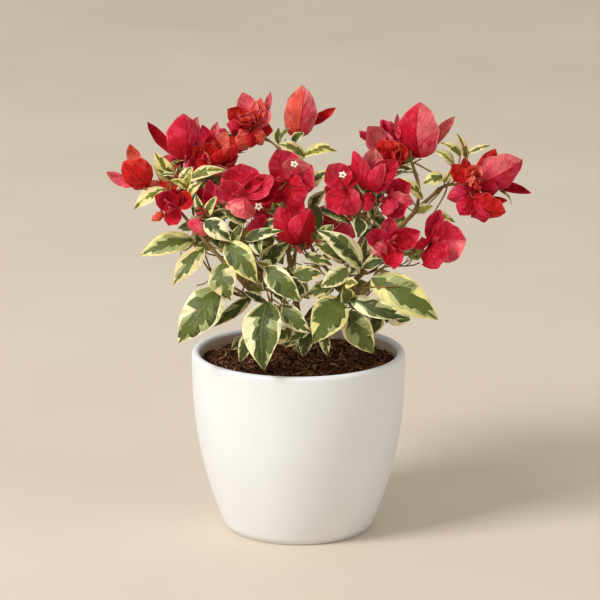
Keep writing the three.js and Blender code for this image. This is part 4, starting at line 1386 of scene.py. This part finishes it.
# Each shape is one unit tall and grows up +Z: a bud swells to its tip, a slim tube carries the
# open star, and the star flares into five lobes. Rings are (radius, height).
flowerLook = {
    "bud": tone(186, 50, 62), "tube": tone(180, 110, 90), "star": tone(246, 240, 220),
    "roughness": 0.55, "specular": 0.3, "grain": (1500, 2), "bump": (0.3, 0.0002),
    "sides": 10, "starSpan": 8.5, "tubeLength": 9,
    "budRings": [(0.05, 0), (0.075, 0.12), (0.06, 0.45), (0.09, 0.7), (0.12, 0.86), (0.05, 1)],
    "tubeRings": [(0.05, 0), (0.08, 0.15), (0.065, 0.6), (0.1, 0.92)],
    "lobe": 0.4, "notch": 0.24, "throat": (0.1, 0.06),
}


def evenRings(pairs, sides):
    return [([radius] * sides, height) for radius, height in pairs]


def flowersPiece():
    sides = flowerLook["sides"]
    budShape = shapeObject("budShape", evenRings(flowerLook["budRings"], sides))
    tubeShape = shapeObject("tubeShape", evenRings(flowerLook["tubeRings"], sides))
    lobes = [flowerLook["notch" if j % 2 else "lobe"] for j in range(sides)]
    outside, inside = ([radius] * sides for radius in flowerLook["throat"])
    starShape = shapeObject("starShape", [
        (outside, 0.84), (lobes, 1.0), ([value * 0.96 for value in lobes], 1.04), (inside, 0.9)])
    tree = instanceTree()
    size, length = flowerLook["starSpan"], flowerLook["tubeLength"]
    tubes = [(star - lean * length * 0.9, lean, length) for star, lean in bush["stars"]]
    stars = [(star - lean * size * 0.95, lean, size) for star, lean in bush["stars"]]
    budSpots, tubeSpots, starSpots = spotsObject(bush["buds"]), spotsObject(tubes), spotsObject(stars)
    made = []
    for name, spots, shape in (
            ("bud", budSpots, budShape), ("tube", tubeSpots, tubeShape), ("star", starSpots, starShape)):
        material = grainyMaterial(name + "Petal", flowerLook[name], flowerLook)
        made.append(runTree(spots, tree, name, {"Shape": shape, "Material": material}))
    discard(budSpots, tubeSpots, starSpots, budShape, tubeShape, starShape)
    return joined("flowers", made)


flowers = flowersPiece()
print("flowers:", len(flowers.data.polygons), "faces")


potSize = {
    "height": 136.5, "rimRadius": 80, "footRadius": 54.5, "bellyPower": 2.3, "wall": 6, "floor": 8,
    "footEase": 1.6, "footInset": 0.2, "footRise": 0.4,
    "sides": 160, "bellySteps": 40, "lipSteps": 10, "insideSteps": 14,
}


def bellyRadius(height):
    share = min(1, height / (potSize["height"] - potSize["wall"]))
    return potSize["footRadius"] + (potSize["rimRadius"] - potSize["footRadius"]) * (
        1 - (1 - share) ** potSize["bellyPower"])


def lathe(name, profile, sides, material):
    # turned about the upright axis, from a point on it to a point on it
    mesh = bpy.data.meshes.new(name)
    ring = profile[1:-1]
    points = [(0, 0, profile[0][1])]
    turns = [2 * math.pi * j / sides for j in range(sides)]
    for radius, height in ring:
        points += [(radius * math.cos(turn), radius * math.sin(turn), height) for turn in turns]
    points.append((0, 0, profile[-1][1]))
    faces = []
    last = 1 + (len(ring) - 1) * sides
    for j in range(sides):
        after = (j + 1) % sides
        faces.append((0, 1 + after, 1 + j))
        faces.append((len(points) - 1, last + j, last + after))
        for i in range(len(ring) - 1):
            low, high = 1 + i * sides, 1 + (i + 1) * sides
            faces.append((low + j, low + after, high + after, high + j))
    mesh.from_pydata(np.array(points) * mm, [], faces)
    mesh.materials.append(material)
    smoothShaded(mesh, 60)
    return addThing(name, mesh)


def potProfile():
    lip = potSize["wall"] / 2
    lipHeight = potSize["height"] - lip
    ease = potSize["footEase"]
    profile = [(0, 0), (potSize["footRadius"] - 2 * ease, 0)]
    footMiddle = potSize["footRadius"] - ease
    for k in range(1, 5):
        angle = k / 4 * math.pi / 2
        radius = footMiddle + ease * math.sin(angle) - potSize["footInset"]
        profile.append((radius, ease - ease * math.cos(angle)))
    heights = np.linspace(ease + potSize["footRise"], lipHeight, potSize["bellySteps"])
    profile += [(bellyRadius(z), z) for z in heights]
    lipMiddle = potSize["rimRadius"] - lip
    for k in range(1, potSize["lipSteps"]):
        angle = k / potSize["lipSteps"] * math.pi
        profile.append((lipMiddle + lip * math.cos(angle), lipHeight + lip * math.sin(angle)))
    inside = np.linspace(lipHeight, potSize["floor"], potSize["insideSteps"])
    profile += [(bellyRadius(z) - potSize["wall"], z) for z in inside]
    return profile + [(0, potSize["floor"])]


glazeLook = {
    "outside": (tone(237, 239, 240), tone(232, 233, 233)),
    "inside": (tone(226, 208, 186), tone(206, 184, 158)),  # darker and browner inside the rim: painted shade, with a painted warm reflection of the soil
    "roughness": 0.42, "specular": 0.45, "gloss": (60, 3, 0.3, 0.36, 0.5),
    "patches": (14, 4, 0.35), "grain": (120, 5), "bump": (0.1, 0.0006),
}


def glazeMaterial(name, side):
    material, tree, shader = patchyMaterial(name, {**glazeLook, "colours": glazeLook[side]})
    tree.links.new(patchesOf(tree, *glazeLook["gloss"]), shader.inputs["Roughness"])
    return material


def potPiece():
    made = lathe("pot", potProfile(), potSize["sides"], glazeMaterial("whiteGlaze", "outside"))
    made.data.materials.append(glazeMaterial("shadedInsideGlaze", "inside"))
    lipFoot = potSize["height"] - potSize["wall"] / 2
    # the inside of the wall below the lip takes the glaze with painted shade and painted soil reflection
    for face in made.data.polygons:
        facesIn = face.center.x * face.normal.x + face.center.y * face.normal.y < 0
        if facesIn and potSize["floor"] < face.center.z / mm < lipFoot:
            face.material_index = 1
    return made


pot = potPiece()
print("pot turned")


soilSize = {
    "centre": 129.2, "edge": 126, "bottom": 8.3, "inset": 6.4, "sides": 96, "rings": 30, "roughness": 2.4,
    "lumps": 160, "litterMargin": 3.5,
}
# What lies on the soil: its shape and colour, how many to the square metre, how long in metres
# and how far it tilts.
soilLitter = {
    "fibre": ("strand", tone(150, 104, 68), 42000, (0.006, 0.014), 0.5),
    "husk": ("hook", tone(96, 58, 36), 105000, (0.005, 0.012), 0.6),
    "straw": ("strand", tone(196, 158, 118), 9000, (0.005, 0.012), 0.5),
    "chip": ("chip", tone(52, 32, 21), 60000, (0.0018, 0.0055), 0.8),
}
litterLook = {"roughness": 0.9, "specular": 0.15, "grain": (1600, 3), "bump": (0.6, 0.0004)}
loamLook = {
    "colours": (tone(44, 28, 17), tone(22, 14, 9)), "roughness": 0.95, "specular": 0.1,
    "patches": (300, 5, 0.4), "grain": (900, 6), "bump": (1.0, 0.002),
}


def soilRadius(height):
    return bellyRadius(height) - soilSize["inset"]


def soilMound():
    outer = soilRadius(soilSize["edge"])
    profile = [(0, soilSize["bottom"])]
    profile += [(soilRadius(z), z) for z in np.linspace(soilSize["bottom"], soilSize["edge"] - 4, 8)]
    for k in range(soilSize["rings"]):
        share = 1 - k / soilSize["rings"]
        height = soilSize["edge"] + (soilSize["centre"] - soilSize["edge"]) * (1 - share * share)
        profile.append((outer * share, height))
    profile.append((0, soilSize["centre"]))
    mound = lathe("soil", profile, soilSize["sides"], patchyMaterial("loam", loamLook)[0])
    for point in mound.data.vertices:
        height = point.co.z / mm
        if height > soilSize["edge"] - 1:
            bumpy = noise.fractal(Vector(point.co) * soilSize["lumps"], 0.8, 2.2, 4)
            point.co.z += bumpy * soilSize["roughness"] * mm
    return mound


def scatterTree():
    tree, inputs, outputs = newTree("scatteredLitter", [
        ("Density", "Float"), ("Seed", "Int"), ("Shape", "Object"), ("Smallest", "Float"),
        ("Largest", "Float"), ("Tilt", "Float"), ("Material", "Material")])
    link = tree.links.new
    spots = addNode(tree, "GeometryNodeDistributePointsOnFaces")
    link(inputs.outputs["Geometry"], spots.inputs["Mesh"])
    link(inputs.outputs["Density"], spots.inputs["Density"])
    link(inputs.outputs["Seed"], spots.inputs["Seed"])
    shape = addNode(tree, "GeometryNodeObjectInfo")
    link(inputs.outputs["Shape"], shape.inputs["Object"])
    size = addNode(tree, "FunctionNodeRandomValue", data_type="FLOAT")  # sockets 2 and 3 are its limits
    link(inputs.outputs["Smallest"], size.inputs[2])
    link(inputs.outputs["Largest"], size.inputs[3])
    link(inputs.outputs["Seed"], size.inputs["Seed"])
    tilt = addNode(tree, "FunctionNodeRandomValue", data_type="FLOAT_VECTOR")
    low = addNode(tree, "ShaderNodeCombineXYZ")
    high = addNode(tree, "ShaderNodeCombineXYZ")
    minus = maths(tree, "MULTIPLY", inputs.outputs["Tilt"], -1)
    for socket in (0, 1):
        link(minus, low.inputs[socket])
        link(inputs.outputs["Tilt"], high.inputs[socket])
    high.inputs[2].default_value = 2 * math.pi
    link(low.outputs[0], tilt.inputs[0])
    link(high.outputs[0], tilt.inputs[1])
    turn = addNode(tree, "FunctionNodeRotateRotation", rotation_space="LOCAL")
    link(spots.outputs["Rotation"], turn.inputs[0])
    link(tilt.outputs[0], turn.inputs[1])
    copies = addNode(tree, "GeometryNodeInstanceOnPoints")
    link(spots.outputs["Points"], copies.inputs["Points"])
    link(shape.outputs["Geometry"], copies.inputs["Instance"])
    link(turn.outputs[0], copies.inputs["Rotation"])
    link(size.outputs[1], copies.inputs["Scale"])
    finishTree(tree, inputs, outputs, copies.outputs[0])
    return tree


def fibreShape(name, bend, thickness):
    # a bent strand one unit long that lies along x
    points, faces = [], []
    steps = 5
    for i in range(steps + 1):
        along = i / steps - 0.5
        y, z = bend * math.cos(along * math.pi * 1.3), 0.05 * math.sin(i * 2.1)
        radius = thickness * (1 - 1.2 * along * along)
        for j in range(3):
            angle = 2 * math.pi * j / 3
            points.append((along, y + radius * math.cos(angle), z + radius * math.sin(angle)))
    for i in range(steps):
        for j in range(3):
            after = (j + 1) % 3
            faces.append((3 * i + j, 3 * i + after, 3 * i + 3 + after, 3 * i + 3 + j))
    faces += [(0, 2, 1), (3 * steps, 3 * steps + 1, 3 * steps + 2)]
    return addMesh(name, points, faces)


def litterPiece(mound):
    inner = soilRadius(soilSize["edge"]) - soilSize["litterMargin"]
    flat = [tuple(face.vertices) for face in mound.data.polygons
            if face.normal.z > 0.5 and face.center.xy.length < inner * mm]
    top = addMesh("lid", [point.co.copy() for point in mound.data.vertices], flat)
    shapes = {
        "strand": fibreShape("strand", 0.16, 0.055),
        "hook": fibreShape("hook", 0.34, 0.06),
        "chip": shapeObject("chip", [
            ([0.5, 0.36, 0.44, 0.3, 0.46], -0.12), ([0.44, 0.4, 0.36, 0.34, 0.4], 0.12)]),
    }
    tree = scatterTree()
    made = []
    for number, (name, (shape, colour, density, lengths, tilt)) in enumerate(soilLitter.items()):
        made.append(runTree(top, tree, name, {
            "Density": density, "Seed": 3 + number, "Shape": shapes[shape], "Smallest": lengths[0],
            "Largest": lengths[1], "Tilt": tilt,
            "Material": grainyMaterial(name + "Litter", colour, litterLook)}))
    discard(top, *shapes.values())
    return joined("soilLitter", made)


soil = soilMound()
litter = litterPiece(soil)
print("litter:", len(litter.data.polygons), "faces")

# What each piece rides on and stands for.
for piece, slot, nodes in (
        (pot, "pot_ceramic", ["pot"]), (soil, "potting_soil", ["soil"]), (litter, "potting_soil", ["soil"]),
        (bark, "bark", limbNodes), (twigs, "bark", massNodes), (leaves, "foliage", massNodes),
        (bracts, "foliage", massNodes), (flowers, "foliage", massNodes)):
    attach(piece, "root")
    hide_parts(*nodes)

stageLook = {
    "floor": dict(
        colours=(tone(224, 212, 194), tone(217, 204, 185)), roughness=0.7, specular=0.2,
        patches=(3, 6, 0.3)),
    "floorHalf": 6,
    "world": (1.0, 0.965, 0.91, 1), "worldStrength": 0.55,
    "key": dict(place=(-2.8, -1.9, 3.0), size=1.5, power=158, colour=(0.97, 0.98, 1.0)),
    "fill": dict(place=(1.9, -1.6, 1.3), size=2.2, power=5, colour=(0.96, 0.98, 1.0)),
    "aim": (0.01, 0, 0.17),
}


def floorPiece():
    half = stageLook["floorHalf"]
    mesh = bpy.data.meshes.new("floor")
    corners = [(x * half, y * half, 0) for x, y in ((-1, -1), (1, -1), (1, 1), (-1, 1))]
    mesh.from_pydata(corners, [], [(0, 1, 2, 3)])
    mesh.materials.append(patchyMaterial("paleStone", stageLook["floor"])[0])
    addThing("floor", mesh)


def softLight(name, light):
    data = bpy.data.lights.new(name, "AREA")
    data.size = light["size"]
    data.energy = light["power"]
    data.color = light["colour"]
    lamp = addThing(name, data)
    lamp.location = light["place"]
    aim = Vector(stageLook["aim"]) - Vector(light["place"])
    lamp.rotation_euler = aim.to_track_quat("-Z", "Y").to_euler()


def setCamera():
    data = bpy.data.cameras.new("camera")
    data.lens = view["lens"]
    data.sensor_width = view["sensor"]
    data.clip_end = 30
    camera = addThing("camera", data)
    camera.location = eye * mm
    camera.rotation_euler = (math.pi / 2 - viewDown, 0, 0)
    bpy.context.scene.camera = camera


floorPiece()
softLight("key", stageLook["key"])
softLight("fill", stageLook["fill"])
setCamera()
world = bpy.data.worlds.new("studio")
world.use_nodes = True
world.node_tree.nodes["Background"].inputs["Color"].default_value = stageLook["world"]
world.node_tree.nodes["Background"].inputs["Strength"].default_value = stageLook["worldStrength"]
bpy.context.scene.world = world
bpy.context.scene.view_settings.view_transform = "Standard"
print("stage set")
